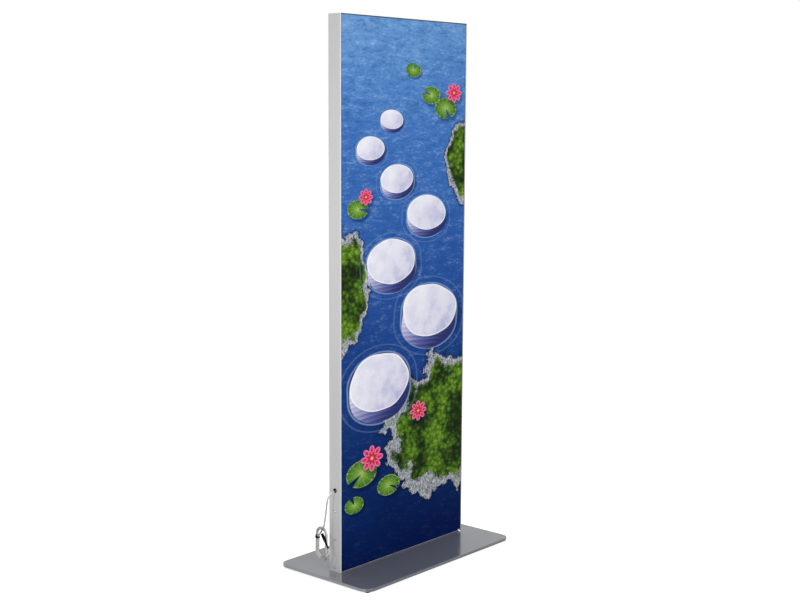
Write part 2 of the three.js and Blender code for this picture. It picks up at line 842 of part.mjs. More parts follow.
function addBase(base) {
  const plate = chamferedSlab(
    roundedPlate(plateLength, plateWidth, plateCornerRadius), plateThickness, plateChamfer);
  plate.translate(0, 0, padHeight);
  const screwPlaces = [-1, 1].flatMap(flatScrewPlaces);
  addPiece(base, 'base_plate', cut(plate, screwPlaces.map(([x, y]) => flatScrewHole(x, y))), 'powderSteel');
  screwPlaces.forEach(([x, y], screw) => {
    addPiece(base, `plate_screw_${screw + 1}`, flatScrew(x, y), 'screwSteel');
  });

  const pad = new THREE.Shape([[-1, -1], [1, -1], [1, 1], [-1, 1]].map(
    ([x, y]) => new THREE.Vector2(x * padSide / 2, y * padSide / 2)));
  padPlaces().forEach(([x, y], place) => {
    const slab = chamferedSlab(pad, padHeight - seatGap, padChamfer);
    addPiece(base, `rubber_pad_${place + 1}`, slab.translate(x, y, 0), 'rubber');
  });

  for (const [name, side] of [['left', -1], ['right', 1]]) {
    const x = [inwards(side, backWall + clear), inwards(side, webAt - clear)];
    const across = chamberHalf - clear;
    const bar = block(
      [Math.min(...x), -across, floorToFrame + seatGap],
      [Math.max(...x), across, floorToFrame + uprightHeight],
    );
    const bores = baseScrewHeights().map((height) => rod(
      panShankDiameter + 2 * clear,
      [inwards(side, backWall - cutOverrun), 0, floorToFrame + height],
      [inwards(side, panShankLength + clear), 0, floorToFrame + height],
      screwSides,
    ));
    const screwBores = flatScrewPlaces(side).map(([screwX, screwY]) => flatScrewHole(screwX, screwY));
    addPiece(base, `${name}_upright`, cut(bar, bores.concat(screwBores)), 'powderSteel');
    baseScrewHeights().forEach((height, screw) => {
      const seat = [inwards(side, 0), 0, floorToFrame + height];
      const outside = [2 * inwards(side, 0), 0, floorToFrame + height];
      const geometry = panScrew(panShankLength, seat, outside);
      addPiece(base, `${name}_base_screw_${screw + 1}`, geometry, 'screwSteel');
    });
  }
}

// Supply lead outside the frame

function addGrommet(frame) {
  const bore = grommetBoreDiameter / 2;
  const outline = [
    [bore, -grommetFlange],
    [grommetFlangeDiameter / 2, -grommetFlange],
    [grommetFlangeDiameter / 2, -seatGap],
    [grommetNeckDiameter / 2, -seatGap],
    [grommetNeckDiameter / 2, backWall + seatGap],
    [grommetBackDiameter / 2, backWall + seatGap],
    [grommetBackDiameter / 2, backWall + grommetBack],
    [bore, backWall + grommetBack],
    [bore, -grommetFlange],
  ];
  const ring = aimed(revolved(outline, turnedSides), [-halfWidth, 0, cordHoleHeight], [0, 0, cordHoleHeight]);
  addPiece(frame, 'cord_grommet', ring, 'rubber');
}

// The hank's centre line, as [y, z] about its middle at a number of turns: down the left run, under, up the
// right run and over the top, with the fold radius growing by one pitch in each turn
const hankRunShare = 0.27;

function hankPoint(turns) {
  const radius = hankFoldRadius + hankPitch * turns;
  const around = turns - Math.floor(turns);
  const halfTurn = around < 0.5 ? 1 : -1;
  const part = around % 0.5;
  if (part < hankRunShare) {
    return [halfTurn * radius, halfTurn * hankHalfRun * (1 - 2 * part / hankRunShare)];
  }
  const angle = Math.PI * (part - hankRunShare) / (0.5 - hankRunShare);
  return [halfTurn * radius * Math.cos(angle), -halfTurn * (hankHalfRun + radius * Math.sin(angle))];
}

// It starts on the left run, and after its whole loops it leaves level from the lowest point of the next fold
const hankStart = hankRunShare * (1 - hankStartAbove / hankHalfRun) / 2;
const hankEnd = hankLoops + (hankRunShare + 0.5) / 2;

class HankCurve extends THREE.Curve {
  getPoint(t, target = new THREE.Vector3()) {
    const straight = cordDiameter / (2 * Math.PI * hankFoldRadius + 4 * hankHalfRun);
    const turns = hankStart + t * (hankEnd + straight - hankStart);
    const [y, z] = hankPoint(Math.min(turns, hankEnd));
    const beyond = Math.max(turns - hankEnd, 0) / straight * cordDiameter;
    return target.set(hankX, hankY + y - beyond, hankZ + z);
  }
}

// Least distance between the surfaces of two stretches of the hank more than half a turn apart
function hankLeastGap(curve) {
  const samples = 600;
  const points = curve.getSpacedPoints(samples);
  const apart = Math.ceil(samples / (2 * (hankEnd - hankStart)));
  let least = Infinity;
  for (let first = 0; first + apart <= samples; first += 1) {
    for (let second = first + apart; second <= samples; second += 1) {
      least = Math.min(least, points[first].distanceTo(points[second]));
    }
  }
  return least - cordDiameter;
}

// Points of the free lead between the grommet and the hank, chosen along the cord as it hangs
const leadRoute = [
  [-345.5, 0, 284.1],
  [-355.4, -0.6, 278.8],
  [-363.4, -0.8, 269.4],
  [-368.4, -0.4, 257.5],
  [-370.8, 0, 244.2],
  [-372.5, 0, 229.9],
  [-375.2, -0.3, 215.5],
  [-378.8, -0.6, 201.5],
  [-381.9, -0.6, 187.7],
  [-383, 0.9, 174.6],
  [-382.7, 6.6, 163.5],
  [-379.3, 15.6, 154.6],
  [-373.2, 26, 144.6],
  [-373.5, 33.2, 135.9],
];

// Points of the tail between the hank and the socket
const tailRoute = [
  [-375, 2.5, 53.4],
  [-379.1, -4, 58],
  [-385.1, -11.6, 69.4],
  [-381.5, -19.9, 83],
  [-380.4, -20.3, 88.6],
];

const socketStart = [-380.6, -16.7, 97.9];
const socketEnd = [-385, 9.3, 147.2];

function shifted(point, direction, distance) {
  return new THREE.Vector3(...point).addScaledVector(direction, distance).toArray();
}

function directionTo(start, end) {
  return new THREE.Vector3(...end).sub(new THREE.Vector3(...start)).normalize();
}

// Each free stretch runs straight for one diameter where it meets the next piece
function freeStretch(start, startDirection, middle, end, endDirection) {
  const first = shifted(start, startDirection, clear);
  const last = shifted(end, endDirection, -clear);
  return smoothRoute([
    first,
    shifted(first, startDirection, cordDiameter),
    ...middle,
    shifted(last, endDirection, -cordDiameter),
    last,
  ]);
}

function addSocket(cord) {
  const reliefRadius = (along) => {
    const share = along / socketReliefLength;
    return (socketReliefEndDiameter + share * (socketWaistDiameter - socketReliefEndDiameter)) / 2;
  };
  const ribPitch = socketReliefLength / (socketReliefRibs + 1);
  const outline = [[0, 0], [reliefRadius(0), 0]];
  for (let rib = 1; rib <= socketReliefRibs; rib += 1) {
    const centre = rib * ribPitch;
    const low = centre - socketReliefGroove / 2;
    const high = centre + socketReliefGroove / 2;
    outline.push([reliefRadius(low), low], [reliefRadius(low) - socketReliefGroove, low]);
    outline.push([reliefRadius(high) - socketReliefGroove, high], [reliefRadius(high), high]);
  }
  const collarShares = [0.12, 0.3, 0.88];
  const [shoulder, collar, rim] = collarShares.map((share) => socketReliefLength + share * socketBodyLength);
  const top = socketReliefLength + socketBodyLength;
  const boreFloor = top - socketBoreDepth;
  outline.push(
    [socketWaistDiameter / 2, socketReliefLength],
    [socketBodyDiameter / 2, shoulder],
    [socketBodyDiameter / 2, collar],
    [socketCollarDiameter / 2, collar],
    [socketCollarDiameter / 2, rim],
    [socketBodyDiameter / 2, top],
    [socketBoreDiameter / 2, top],
    [socketBoreDiameter / 2, boreFloor],
    [0, boreFloor],
  );
  const body = aimed(revolved(outline, turnedSides), socketStart, socketEnd);
  addPiece(cord, 'socket_body', body, 'blackPlastic');

  const direction = directionTo(socketStart, socketEnd);
  const pinStart = shifted(socketStart, direction, boreFloor + seatGap);
  const pinEnd = shifted(pinStart, direction, socketPinLength);
  addPiece(cord, 'socket_pin', rod(socketPinDiameter, pinStart, pinEnd, grubSides), 'screwSteel');
}

function addCableTie(cord) {
  const inner = cordRadius + clear;
  const firstY = hankY + hankPoint(hankStart)[0];
  const nearY = firstY - inner;
  const farY = firstY + hankLoops * hankPitch + inner;
  const top = hankZ + hankStartAbove + tieAboveStart;
  const ring = cut(
    block([hankX - inner - tieThickness, nearY - tieThickness, top - tieWidth],
      [hankX + inner + tieThickness, farY + tieThickness, top]),
    [block([hankX - inner, nearY, top - tieWidth - cutOverrun], [hankX + inner, farY, top + cutOverrun])],
  );
  const headX = hankX - inner - tieThickness;
  const headY = (nearY + farY) / 2;
  const headRise = (tieHeadLength - tieWidth) / 2;
  const head = block(
    [headX - tieHeadDepth + tieThickness, headY - tieHeadLength / 2, top - tieWidth - headRise],
    [headX + tieThickness / 2, headY + tieHeadLength / 2, top + headRise],
  );
  addPiece(cord, 'cable_tie', joined([ring, head]), 'blackPlastic');
}

function addCord(cord) {
  const hank = new HankCurve();
  hank.arcLengthDivisions = 800;
  const steps = Math.round(hankStepsPerLoop * (hankEnd - hankStart));
  addPiece(cord, 'cord_hank', tube(hank, cordDiameter, hankSides, steps), 'cord');
  console.log(`least gap between the loops of the hank: ${hankLeastGap(hank).toFixed(2)} mm`);
  console.log(`length of the hank: ${hank.getLength().toFixed(0)} mm`);

  const out = new THREE.Vector3(-1, 0, 0);
  const lead = freeStretch([grommetFaceX, 0, cordExitHeight], out, leadRoute, hank.getPoint(0).toArray(),
    hank.getTangent(0));
  const tail = freeStretch(hank.getPoint(1).toArray(), hank.getTangent(1), tailRoute, socketStart,
    directionTo(socketStart, socketEnd));
  addPiece(cord, 'cord_lead', tube(lead, cordDiameter, cordSides, 24), 'cord');
  addPiece(cord, 'cord_tail', tube(tail, cordDiameter, cordSides, 10), 'cord');
  console.log(`length of the lead: ${lead.getLength().toFixed(0)} mm`);
  console.log(`length of the tail: ${tail.getLength().toFixed(0)} mm`);
  addCableTie(cord);
  addSocket(cord);
}

// The whole totem

const totem = new THREE.Group();
const frame = new THREE.Group();
frame.position.z = floorToFrame;
addBase(totem);
addProfiles(frame);
addCorners(frame);
addCrossbar(frame);
addLights(frame);
addJunction(frame);
addInnerLeads(frame);
addPrint(frame, 'front', -1);
addPrint(frame, 'rear', 1);
addGrommet(frame);
addCord(frame);
totem.add(frame);

export default totem;
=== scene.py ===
import math

import bmesh
import bpy
import numpy as np
from mathutils import Matrix, Vector


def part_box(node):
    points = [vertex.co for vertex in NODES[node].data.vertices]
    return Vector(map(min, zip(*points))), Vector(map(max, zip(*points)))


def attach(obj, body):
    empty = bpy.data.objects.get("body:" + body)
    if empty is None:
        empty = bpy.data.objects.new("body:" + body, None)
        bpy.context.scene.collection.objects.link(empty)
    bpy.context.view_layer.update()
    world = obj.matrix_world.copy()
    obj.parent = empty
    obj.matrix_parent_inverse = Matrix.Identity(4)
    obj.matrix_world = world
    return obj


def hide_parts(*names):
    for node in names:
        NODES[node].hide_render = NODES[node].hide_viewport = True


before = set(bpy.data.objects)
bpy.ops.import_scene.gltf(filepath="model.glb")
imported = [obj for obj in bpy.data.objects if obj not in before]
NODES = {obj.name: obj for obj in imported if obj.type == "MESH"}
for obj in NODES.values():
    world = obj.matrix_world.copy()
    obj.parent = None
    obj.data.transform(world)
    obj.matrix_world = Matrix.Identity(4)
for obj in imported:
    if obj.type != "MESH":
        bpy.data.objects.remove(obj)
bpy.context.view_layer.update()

# LED light box totem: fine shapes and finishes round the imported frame. Metres, +Z up, the print faces -Y.

MM = 0.001

# Places read from the frame
SIDE_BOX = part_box("left_profile")
PLATE_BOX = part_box("base_plate")
HALF_WIDTH = -SIDE_BOX[0].x
HALF_DEPTH = SIDE_BOX[1].y
HALF_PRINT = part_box("front_print")[1].x
PANEL_FOOT = SIDE_BOX[0].z
PANEL_HEIGHT = SIDE_BOX[1].z - PANEL_FOOT

# Sizes of the fine shapes
WELD = 0.001 * MM
LIP_EDGE = 0.5 * MM
PLATE_EDGE = 1.0 * MM
PLATE_CORNER = 38 * MM
PLATE_FACE_INSET = 3 * MM
PRINT_ROLL = 1.6 * MM
PRINT_CORNER = 4.4 * MM
PRINT_FACE_INSET = 4 * MM
PRINT_THICKNESS = 0.35 * MM
TAB_THICKNESS = 0.6 * MM
CORD_DIAMETER = 5.2 * MM
CORD_GAP = 0.3 * MM
CORD_HOLE_HEIGHT = 287.5 * MM
GROMMET_BORE = 9.6 * MM
CORD_EXIT_HEIGHT = CORD_HOLE_HEIGHT - GROMMET_BORE / 2 + CORD_DIAMETER / 2 + CORD_GAP


def in_scene(name, data):
    """A new object for the data, put in the scene."""
    made = bpy.data.objects.new(name, data)
    bpy.context.scene.collection.objects.link(made)
    return made


# Camera

CAMERA_PLACE = (-3.5633, -3.11503, 1.55771 + PANEL_FOOT)
CAMERA_YAW = math.radians(41.14)
CAMERA_PITCH = math.radians(7.77)
CAMERA_ROLL = math.radians(0.29)
SENSOR_WIDTH = 36
IMAGE_WIDTH_PIXELS = 800
FOCAL_LENGTH_PIXELS = 1350.59


def photo_camera():
    """Looks along (cos yaw cos pitch, sin yaw cos pitch, -sin pitch), rolled about that line."""
    level = math.cos(CAMERA_PITCH)
    forward = Vector((math.cos(CAMERA_YAW) * level, math.sin(CAMERA_YAW) * level, -math.sin(CAMERA_PITCH)))
    across = Vector((math.sin(CAMERA_YAW), -math.cos(CAMERA_YAW), 0))
    upright = across.cross(forward)
    right = math.cos(CAMERA_ROLL) * across + math.sin(CAMERA_ROLL) * upright
    up = math.cos(CAMERA_ROLL) * upright - math.sin(CAMERA_ROLL) * across
    data = bpy.data.cameras.new("camera")
    data.sensor_width = SENSOR_WIDTH
    data.lens = FOCAL_LENGTH_PIXELS * SENSOR_WIDTH / IMAGE_WIDTH_PIXELS
    data.clip_end = 100
    camera = in_scene("camera", data)
    camera.matrix_world = Matrix((right, up, -forward)).transposed().to_4x4()
    camera.location = CAMERA_PLACE
    bpy.context.scene.camera = camera


# Surfaces: grids of points, and the pieces made of them

def ring_faces(rings, closed=False):
    """Quads between neighbours in a stack of rings of points; closed joins the last ring to the first."""
    here = np.arange(rings[..., 0].size).reshape(rings.shape[:2])
    above = np.roll(here, -1, 0)
    quads = np.stack([here, np.roll(here, -1, 1), np.roll(above, -1, 1), above], -1)
    return quads[:None if closed else -1].reshape(-1, 4).tolist()


def capped_faces(rings, ends=(0, -1)):
    """The same, with a flat face on each ring that is named as an end."""
    here = np.arange(rings[..., 0].size).reshape(rings.shape[:2])
    return ring_faces(rings) + [here[end].tolist() for end in ends]


def rounded_outline(half_x, half_y, radius, steps):
    """A rectangle with round corners: each corner is centre + radius (cos a, sin a) over a quarter turn."""
    angle = np.linspace(0, np.pi / 2, steps + 1) + np.arange(4)[:, None] * np.pi / 2
    corner = np.array([[1, 1], [-1, 1], [-1, -1], [1, -1]])
    centre = corner * [half_x - radius, half_y - radius]
    return (centre[:, None] + radius * np.stack([np.cos(angle), np.sin(angle)], -1)).reshape(-1, 2)


def circle(radius, steps):
    """radius (cos a, sin a) over a whole turn."""
    angle = np.linspace(0, 2 * np.pi, steps, endpoint=False)
    return radius * np.stack([np.cos(angle), np.sin(angle)], -1)


def eased(points, ease, steps=4):
    """A line whose corners c become (1-t)^2 a + 2t(1-t) c + t^2 b, where a and b lie on the line near c."""
    points = np.asarray(points, float)
    corner = points[1:-1]

    def beside(other):
        away = other - corner
        length = np.linalg.norm(away, axis=1, keepdims=True)
        return corner + away / length * np.minimum(ease, length * 0.45)

    t = np.linspace(0, 1, steps + 1)[None, :, None]
    start, end = beside(points[:-2])[:, None], beside(points[2:])[:, None]
    curves = (1 - t) ** 2 * start + 2 * t * (1 - t) * corner[:, None] + t ** 2 * end
    return np.vstack([points[:1], curves.reshape(-1, points.shape[1]), points[-1:]])


def unit(vectors):
    return vectors / np.linalg.norm(vectors, axis=-1, keepdims=True)


def swept(path, side, section):
    """path + a side + b (tangent x side) for each point (a, b) of the section, as rings of points."""
    tangent = unit(np.gradient(path, axis=0))
    side = unit(side - (side * tangent).sum(1, keepdims=True) * tangent)
    third = np.cross(tangent, side)
    return path[:, None] + section[None, :, :1] * side[:, None] + section[None, :, 1:] * third[:, None]


def basis_about(direction):
    """Three unit vectors square to each other, the last along the direction."""
    axis = Vector(direction).normalized()
    first = axis.orthogonal().normalized()
    return np.array([first, axis.cross(first), axis])


def turned(outline, start, direction, steps=48):
    """A lathe shape: start + along d + radius (cos a e + sin a f), with d, e and f square to each other."""
    outline = np.asarray(outline, float)
    ring = circle(1, steps)
    radius, along = outline[:, :1], outline[:, 1:]
    local = np.stack([radius * ring[:, 0], radius * ring[:, 1], along + 0 * ring[:, 0]], -1)
    return np.array(start) + local @ basis_about(direction)


def quarter(radius, steps):
    """The two offsets of a round edge: radius (1 - cos a) and radius (1 - sin a) over a quarter turn."""
    angle = np.linspace(0, np.pi / 2, steps + 1)
    return radius * (1 - np.cos(angle)), radius * (1 - np.sin(angle))


def stacked(half, radius, insets, levels, steps):
    """Rounded outlines in a stack: each is drawn in by its inset and lies at its level in Z."""
    rings = []
    for inset, level in zip(insets, levels):
        corner = max(radius - inset, 0.05 * MM)
        outline = rounded_outline(half[0] - inset, half[1] - inset, corner, steps)
        rings.append(np.column_stack([outline, np.full(len(outline), level)]))
    return np.stack(rings)


def welded(mesh):
    """A copy of a mesh to edit, with its doubles merged."""
    made = bmesh.new()
    made.from_mesh(mesh)
    bmesh.ops.remove_doubles(made, verts=made.verts, dist=WELD)
    return made


def skinned(name, mesh, finish, smooth=0):
    """A mesh in the scene with its finish, shaded smooth up to an angle in degrees."""
    if smooth:
        mesh.shade_smooth()
        mesh.set_sharp_from_angle(angle=math.radians(smooth))
    mesh.materials.append(finish)
    return in_scene(name, mesh)


def link(name, points, faces, finish, smooth=40):
    """One piece from points and faces, with doubles merged and normals outward."""
    mesh = bpy.data.meshes.new(name)
    mesh.from_pydata(np.asarray(points, float).reshape(-1, 3).tolist(), [], faces)
    made = welded(mesh)
    bmesh.ops.recalc_face_normals(made, faces=made.faces)
    made.to_mesh(mesh)
    made.free()
    return skinned(name, mesh, finish, smooth)


def lathed(name, outline, start, direction, finish, steps=48):
    """A turned piece; its outline meets itself or the axis, so its ends need no face."""
    rings = turned(outline, start, direction, steps)
    return link(name, rings, ring_faces(rings), finish, 35)


def dress(piece, slot, *nodes):
    """The piece rides on the totem's one body and stands for the nodes named; the slot argument is not used.
    """
    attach(piece, "root")
    if nodes:
        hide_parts(*nodes)
    return piece


def soft_block(name, low, high, ease, finish, steps=4):
    """A box with round edges: rounded outlines stacked in Z, drawn in by a quarter circle at both ends."""
    low, high = np.array(low), np.array(high)
    half, centre = (high - low) / 2, (high + low) / 2
    rise, run = quarter(ease, steps)
    levels = np.concatenate([-half[2] + rise, half[2] - run])
    rings = stacked(half, ease, np.concatenate([run, rise]), levels, steps)
    return link(name, rings + centre, capped_faces(rings), finish)


# Finishes

def tone(red, green, blue):
    """A colour from its screen values of 0 to 255, made linear."""
    share = np.array([red, green, blue]) / 255
    linear = np.where(share <= 0.04045, share / 12.92, ((share + 0.055) / 1.055) ** 2.4)
    return (*linear.tolist(), 1.0)


class Nodes:
    """A node tree, with short calls that add a node, fill its sockets and give back its output."""

    def __init__(self, tree):
        self.tree = tree

    def fill(self, node, sockets):
        for key, value in sockets.items():
            if isinstance(value, bpy.types.NodeSocket):
                self.tree.links.new(value, node.inputs[key])
            else:
                node.inputs[key].default_value = value

    def node(self, kind, sockets, output=0, **settings):
        made = self.tree.nodes.new("ShaderNode" + kind)
        for key, value in settings.items():
            setattr(made, key, value)
        self.fill(made, sockets)
        return made.outputs[output]

    def place(self):
        return self.node("TexCoord", {}, output="Object")

    def flat_place(self):
        return self.node("UVMap", {}, uv_map="flat")

    def facing(self):
        return self.node("NewGeometry", {}, output="Normal")

    def stretched(self, vector, scale, turn=0.0):
        return self.node("Mapping", {0: vector, 2: (0, 0, turn), 3: scale})

    def local(self, vector, centre, size, turn=0.0):
        sockets = {0: vector, 1: (*centre, 0), 2: (0, 0, turn), 3: (*size, 1)}
        return self.node("Mapping", sockets, vector_type="TEXTURE")

    def noise(self, vector, scale, detail=2.0, rough=0.5, bend=0.0):
        sockets = {"Vector": vector, "Scale": scale, "Detail": detail, "Roughness": rough}
        return self.node("TexNoise", {**sockets, "Distortion": bend})

    def cells(self, vector, scale, output="Distance"):
        return self.node("TexVoronoi", {"Vector": vector, "Scale": scale}, output=output)

    def bands(self, vector, scale, bend=0.0, direction="Y"):
        sockets = {"Vector": vector, "Scale": scale, "Distortion": bend, "Detail": 2.0, "Detail Scale": 1.2}
        return self.node("TexWave", sockets, output="Fac", bands_direction=direction)

    def maths(self, operation, *values):
        return self.node("Math", dict(enumerate(values)), operation=operation)

    def add(self, first, second):
        return self.maths("ADD", first, second)

    def times(self, first, second):
        return self.maths("MULTIPLY", first, second)

    def absolute(self, value):
        return self.maths("ABSOLUTE", value)

    def part(self, vector, axis):
        return self.node("SeparateXYZ", {0: vector}, output=axis)

    def dot(self, first, second):
        return self.node("VectorMath", {0: first, 1: second}, output="Value", operation="DOT_PRODUCT")

    def reach(self, vector):
        return self.maths("SQRT", self.dot(vector, vector))

    def angle(self, vector):
        return self.maths("ARCTAN2", self.part(vector, "Y"), self.part(vector, "X"))

    def ranged(self, value, low, high, to_low=0.0, to_high=1.0, kind="SMOOTHSTEP"):
        sockets = {0: value, 1: low, 2: high, 3: to_low, 4: to_high}
        return self.node("MapRange", sockets, interpolation_type=kind)

    def linear(self, *values):
        return self.ranged(*values, kind="LINEAR")

    def ramp(self, value, *stops):
        """Colours along a value: each stop is its place and its screen values."""
        made = self.tree.nodes.new("ShaderNodeValToRGB")
        elements = made.color_ramp.elements
        for index, (position, *colour) in enumerate(stops):
            element = elements[index] if index < 2 else elements.new(position)
            element.position = position
            element.color = tone(*colour)
        self.tree.links.new(value, made.inputs[0])
        return made.outputs[0]

    def mix(self, share, first, second):
        return self.node("Mix", {0: share, 6: first, 7: second}, output=2, data_type="RGBA")

    def bump(self, height, strength, distance):
        return self.node("Bump", {"Strength": strength, "Distance": distance, "Height": height})

    def rays(self):
        """Whether a ray comes from the camera, and whether it is mirrored or goes through glass."""
        kinds = ("Camera", "Glossy", "Transmission")
        seen, mirrored, through = (
            self.node("LightPath", {}, output=f"Is {kind} Ray") for kind in kinds)
        return seen, self.maths("MAXIMUM", mirrored, through)


class Finish(Nodes):
    """A material, whose shader's sockets are filled by name with _ for a space."""

    def __init__(self, name, **sockets):
        self.material = bpy.data.materials.new(name)
        self.material.use_nodes = True
        super().__init__(self.material.node_tree)
        self.shader = self.tree.nodes["Principled BSDF"]
        self.shade(**sockets)

    def shade(self, **sockets):
        self.fill(self.shader, {key.replace("_", " "): value for key, value in sockets.items()})
        return self.material


def moulded(name, patches, grain, stops, rough, relief, **sockets):
    """Plastic or rubber: colour and gloss drift in patches under a grain, each of a scale and detail."""
    finish = Finish(name, **sockets)
    place = finish.place()
    drift = finish.noise(place, *patches)
    return finish.shade(
        Base_Color=finish.ramp(drift, *stops),
        Roughness=finish.ranged(drift, 0.3, 0.7, *rough),
        Normal=finish.bump(finish.noise(place, *grain), *relief),
    )


def anodised(name, along, lip):
    """Satin anodised aluminium with the die lines of an extrusion along one axis; its front lips take a
    painted tone, painted light on a lit bar and painted shade on the others.
    """
    scale = tuple(3 if axis == along else 900 for axis in "xyz")
    cloud = tuple(1.2 if axis == along else 14 for axis in "xyz")
    finish = Finish(name, Metallic=0.3, IOR=1.5)
    place = finish.place()
    lines = finish.noise(finish.stretched(place, scale), 1.0, detail=3)
    drift = finish.noise(finish.stretched(place, cloud), 1.0, detail=2)
    grain = finish.noise(place, 2600, detail=1)
    cast = finish.add(finish.times(lines, 0.6), finish.times(drift, 0.4))
    body = finish.ramp(cast, (0.3, 206, 206, 206), (0.7, 214, 214, 213))
    depth = finish.absolute(finish.part(place, "Y"))
    # Painted light on the front lips: the lip colour stands in for the light or shade that falls on each
    # bar's lip.
    painted_lip_mask = finish.ranged(depth, HALF_DEPTH - 0.6 * MM, HALF_DEPTH - 0.1 * MM)
    height = finish.add(lines, finish.times(grain, 0.4))
    return finish.shade(
        Base_Color=finish.mix(painted_lip_mask, body, lip),
        Roughness=finish.linear(lines, 0.3, 0.7, 0.54, 0.62),
        Normal=finish.bump(height, 0.08, 0.00003),
    )


def cast_metal():
    """Raw die-cast zinc: a fine pitted skin, in a grey that drifts in patches."""
    finish = Finish("cast_metal", Metallic=0.85)
    grain = finish.noise(finish.place(), 900, detail=4, rough=0.6)
    patches = finish.noise(finish.place(), 40, detail=3)
    return finish.shade(
        Base_Color=finish.ramp(patches, (0.3, 178, 180, 182), (0.7, 198, 199, 200)),
        Roughness=finish.ranged(grain, 0.3, 0.7, 0.42, 0.62),
        Normal=finish.bump(grain, 0.3, 0.0001),
    )


def powder_coat():
    """Silver-grey powder coat: flakes under a coat with faint orange peel; the plate's rim is painted lighter
    than the top as painted reflection, and darker where it faces front as painted shade.
    """
    finish = Finish(
        "powder_coat", Metallic=0.5, IOR=1.4, Coat_Weight=0.84, Coat_Roughness=0.1, Coat_IOR=1.5)
    place = finish.place()
    flake = finish.node("SeparateColor", {0: finish.cells(place, 1500, output="Color")})
    cloud = finish.noise(place, 5, detail=3)
    peel = finish.noise(place, 260, detail=2)
    wipe = finish.noise(finish.stretched(place, (6, 60, 6), turn=0.5), 1.0, detail=4)
    top = finish.ramp(cloud, (0.3, 128, 130, 136), (0.7, 134, 136, 142))
    # Painted light on the plate's rim: a lighter tone than the top stands in for reflection, and a darker
    # tone where it faces front stands in for shade.
    edge = finish.ranged(finish.part(place, "Z"), PANEL_FOOT - 0.4 * MM, PANEL_FOOT - 1.4 * MM)
    front_facing_shade_mask = finish.ranged(finish.part(finish.facing(), "Y"), -0.4, -0.85)
    rim = finish.mix(front_facing_shade_mask, tone(156, 160, 165), tone(112, 116, 122))
    base = finish.mix(edge, top, rim)
    coat_bump = finish.bump(peel, 0.025, 0.0002)
    return finish.shade(
        Base_Color=finish.mix(finish.ranged(flake, 0.75, 1.0, 0.0, 0.3), base, tone(176, 178, 186)),
        Roughness=finish.ranged(wipe, 0.35, 0.75, 0.2, 0.27),
        Normal=coat_bump,
        Coat_Normal=coat_bump,
    )


def bright_zinc():
    """Bright zinc with fine scratches, with painted shade where a head's crown turns down to its rim."""
    finish = Finish("bright_zinc", Metallic=1.0)
    place = finish.place()
    scratch = finish.noise(finish.stretched(place, (2400, 2400, 500), turn=0.7), 1.0, detail=3)
    tint = finish.noise(place, 500, detail=2)
    bright = finish.ramp(tint, (0.35, 214, 219, 226), (0.7, 232, 233, 232))
    across, upward = (finish.absolute(finish.part(finish.facing(), axis)) for axis in "XZ")
    # Painted shade: the head's colour darkens where its surface turns away from the X and Z axes, on the rim.
    rim = finish.ranged(finish.maths("MAXIMUM", across, upward), 0.9, 0.66, 0.0, 0.55)
    return finish.shade(
        Base_Color=finish.mix(rim, bright, tone(104, 110, 118)),
        Roughness=finish.ranged(scratch, 0.3, 0.7, 0.18, 0.31),
        Normal=finish.bump(scratch, 0.1, 0.00004),
    )


def cord_sheath():
    """White core, painted darker toward the outline as shade on the cord's round sides, with draw marks and
    dust.

    Along its length the colour is painted shade inside the grommet, light beside it, greyer on the free run
    and lighter again in the hank.
    """
    finish = Finish("cord_sheath", Specular_IOR_Level=0.3)
    flat = finish.flat_place()
    draw = finish.noise(finish.stretched(flat, (30, 900, 1)), 1.0, detail=2)
    dust = finish.noise(finish.place(), 220, detail=4, rough=0.6)
    # Painted shade inside the grommet, then a colour that changes along the length: light, greyer on the free
    # run, lighter in the hank.
    painted_shade_and_length_tone = finish.ramp(
        finish.linear(finish.part(flat, "X"), 0.0, 0.25),
        (0.012, 40, 40, 40), (0.028, 228, 228, 225), (0.12, 228, 228, 225),
        (0.2, 170, 170, 167), (0.66, 166, 166, 163), (0.84, 212, 212, 208),
    )
    core = finish.mix(finish.ranged(dust, 0.3, 0.7, 0.0, 0.12), painted_shade_and_length_tone, tone(150, 150, 144))
    # skin: painted shade, the colour darkens toward the cord's outline as on its round sides.
    aslant = finish.node("LayerWeight", {"Blend": 0.5}, output="Facing")
    skin = finish.ranged(aslant, 0.1, 0.5, 0.0, 0.7)
    return finish.shade(
        Base_Color=finish.mix(skin, core, tone(92, 92, 90)),
        Roughness=finish.ranged(draw, 0.3, 0.7, 0.32, 0.42),
        Normal=finish.bump(draw, 0.12, 0.0001),
    )


def woven_tape():
    """White tape: a plain weave of 0.5 mm threads from two crossed waves."""
    finish = Finish("woven_tape", Sheen_Weight=0.3, Sheen_Roughness=0.5)
    flat = finish.flat_place()
    warp = finish.bands(flat, 320, direction="X")
    weft = finish.bands(flat, 320, direction="Y")
    weave = finish.maths("MAXIMUM", warp, weft)
    return finish.shade(
        Base_Color=finish.ramp(weave, (0.2, 222, 222, 226), (0.8, 246, 246, 248)),
        Roughness=finish.ranged(weave, 0.0, 1.0, 0.8, 0.65),
        Normal=finish.bump(weave, 0.3, 0.0001),
    )


def led_board():
    """White lacquered board; past the board's face the same piece is lens, so it turns clear and glossy."""
    finish = Finish("led_board")
    place = finish.place()
    board_face = HALF_WIDTH - 24.6 * MM
    lens = finish.ranged(finish.absolute(finish.part(place, "X")), board_face, board_face - 0.4 * MM)
    lacquer = finish.noise(place, 300, detail=3)
    board = finish.ramp(lacquer, (0.3, 228, 229, 226), (0.7, 240, 240, 238))
    return finish.shade(
        Base_Color=finish.mix(lens, board, tone(222, 232, 240)),
        Roughness=finish.linear(lens, 0.0, 1.0, 0.45, 0.08),
        Normal=finish.bump(lacquer, 0.04, 0.0001),
    )


# Artwork of the prints: stepping stones in a pond, laid out in metres from the middle of the panel's foot

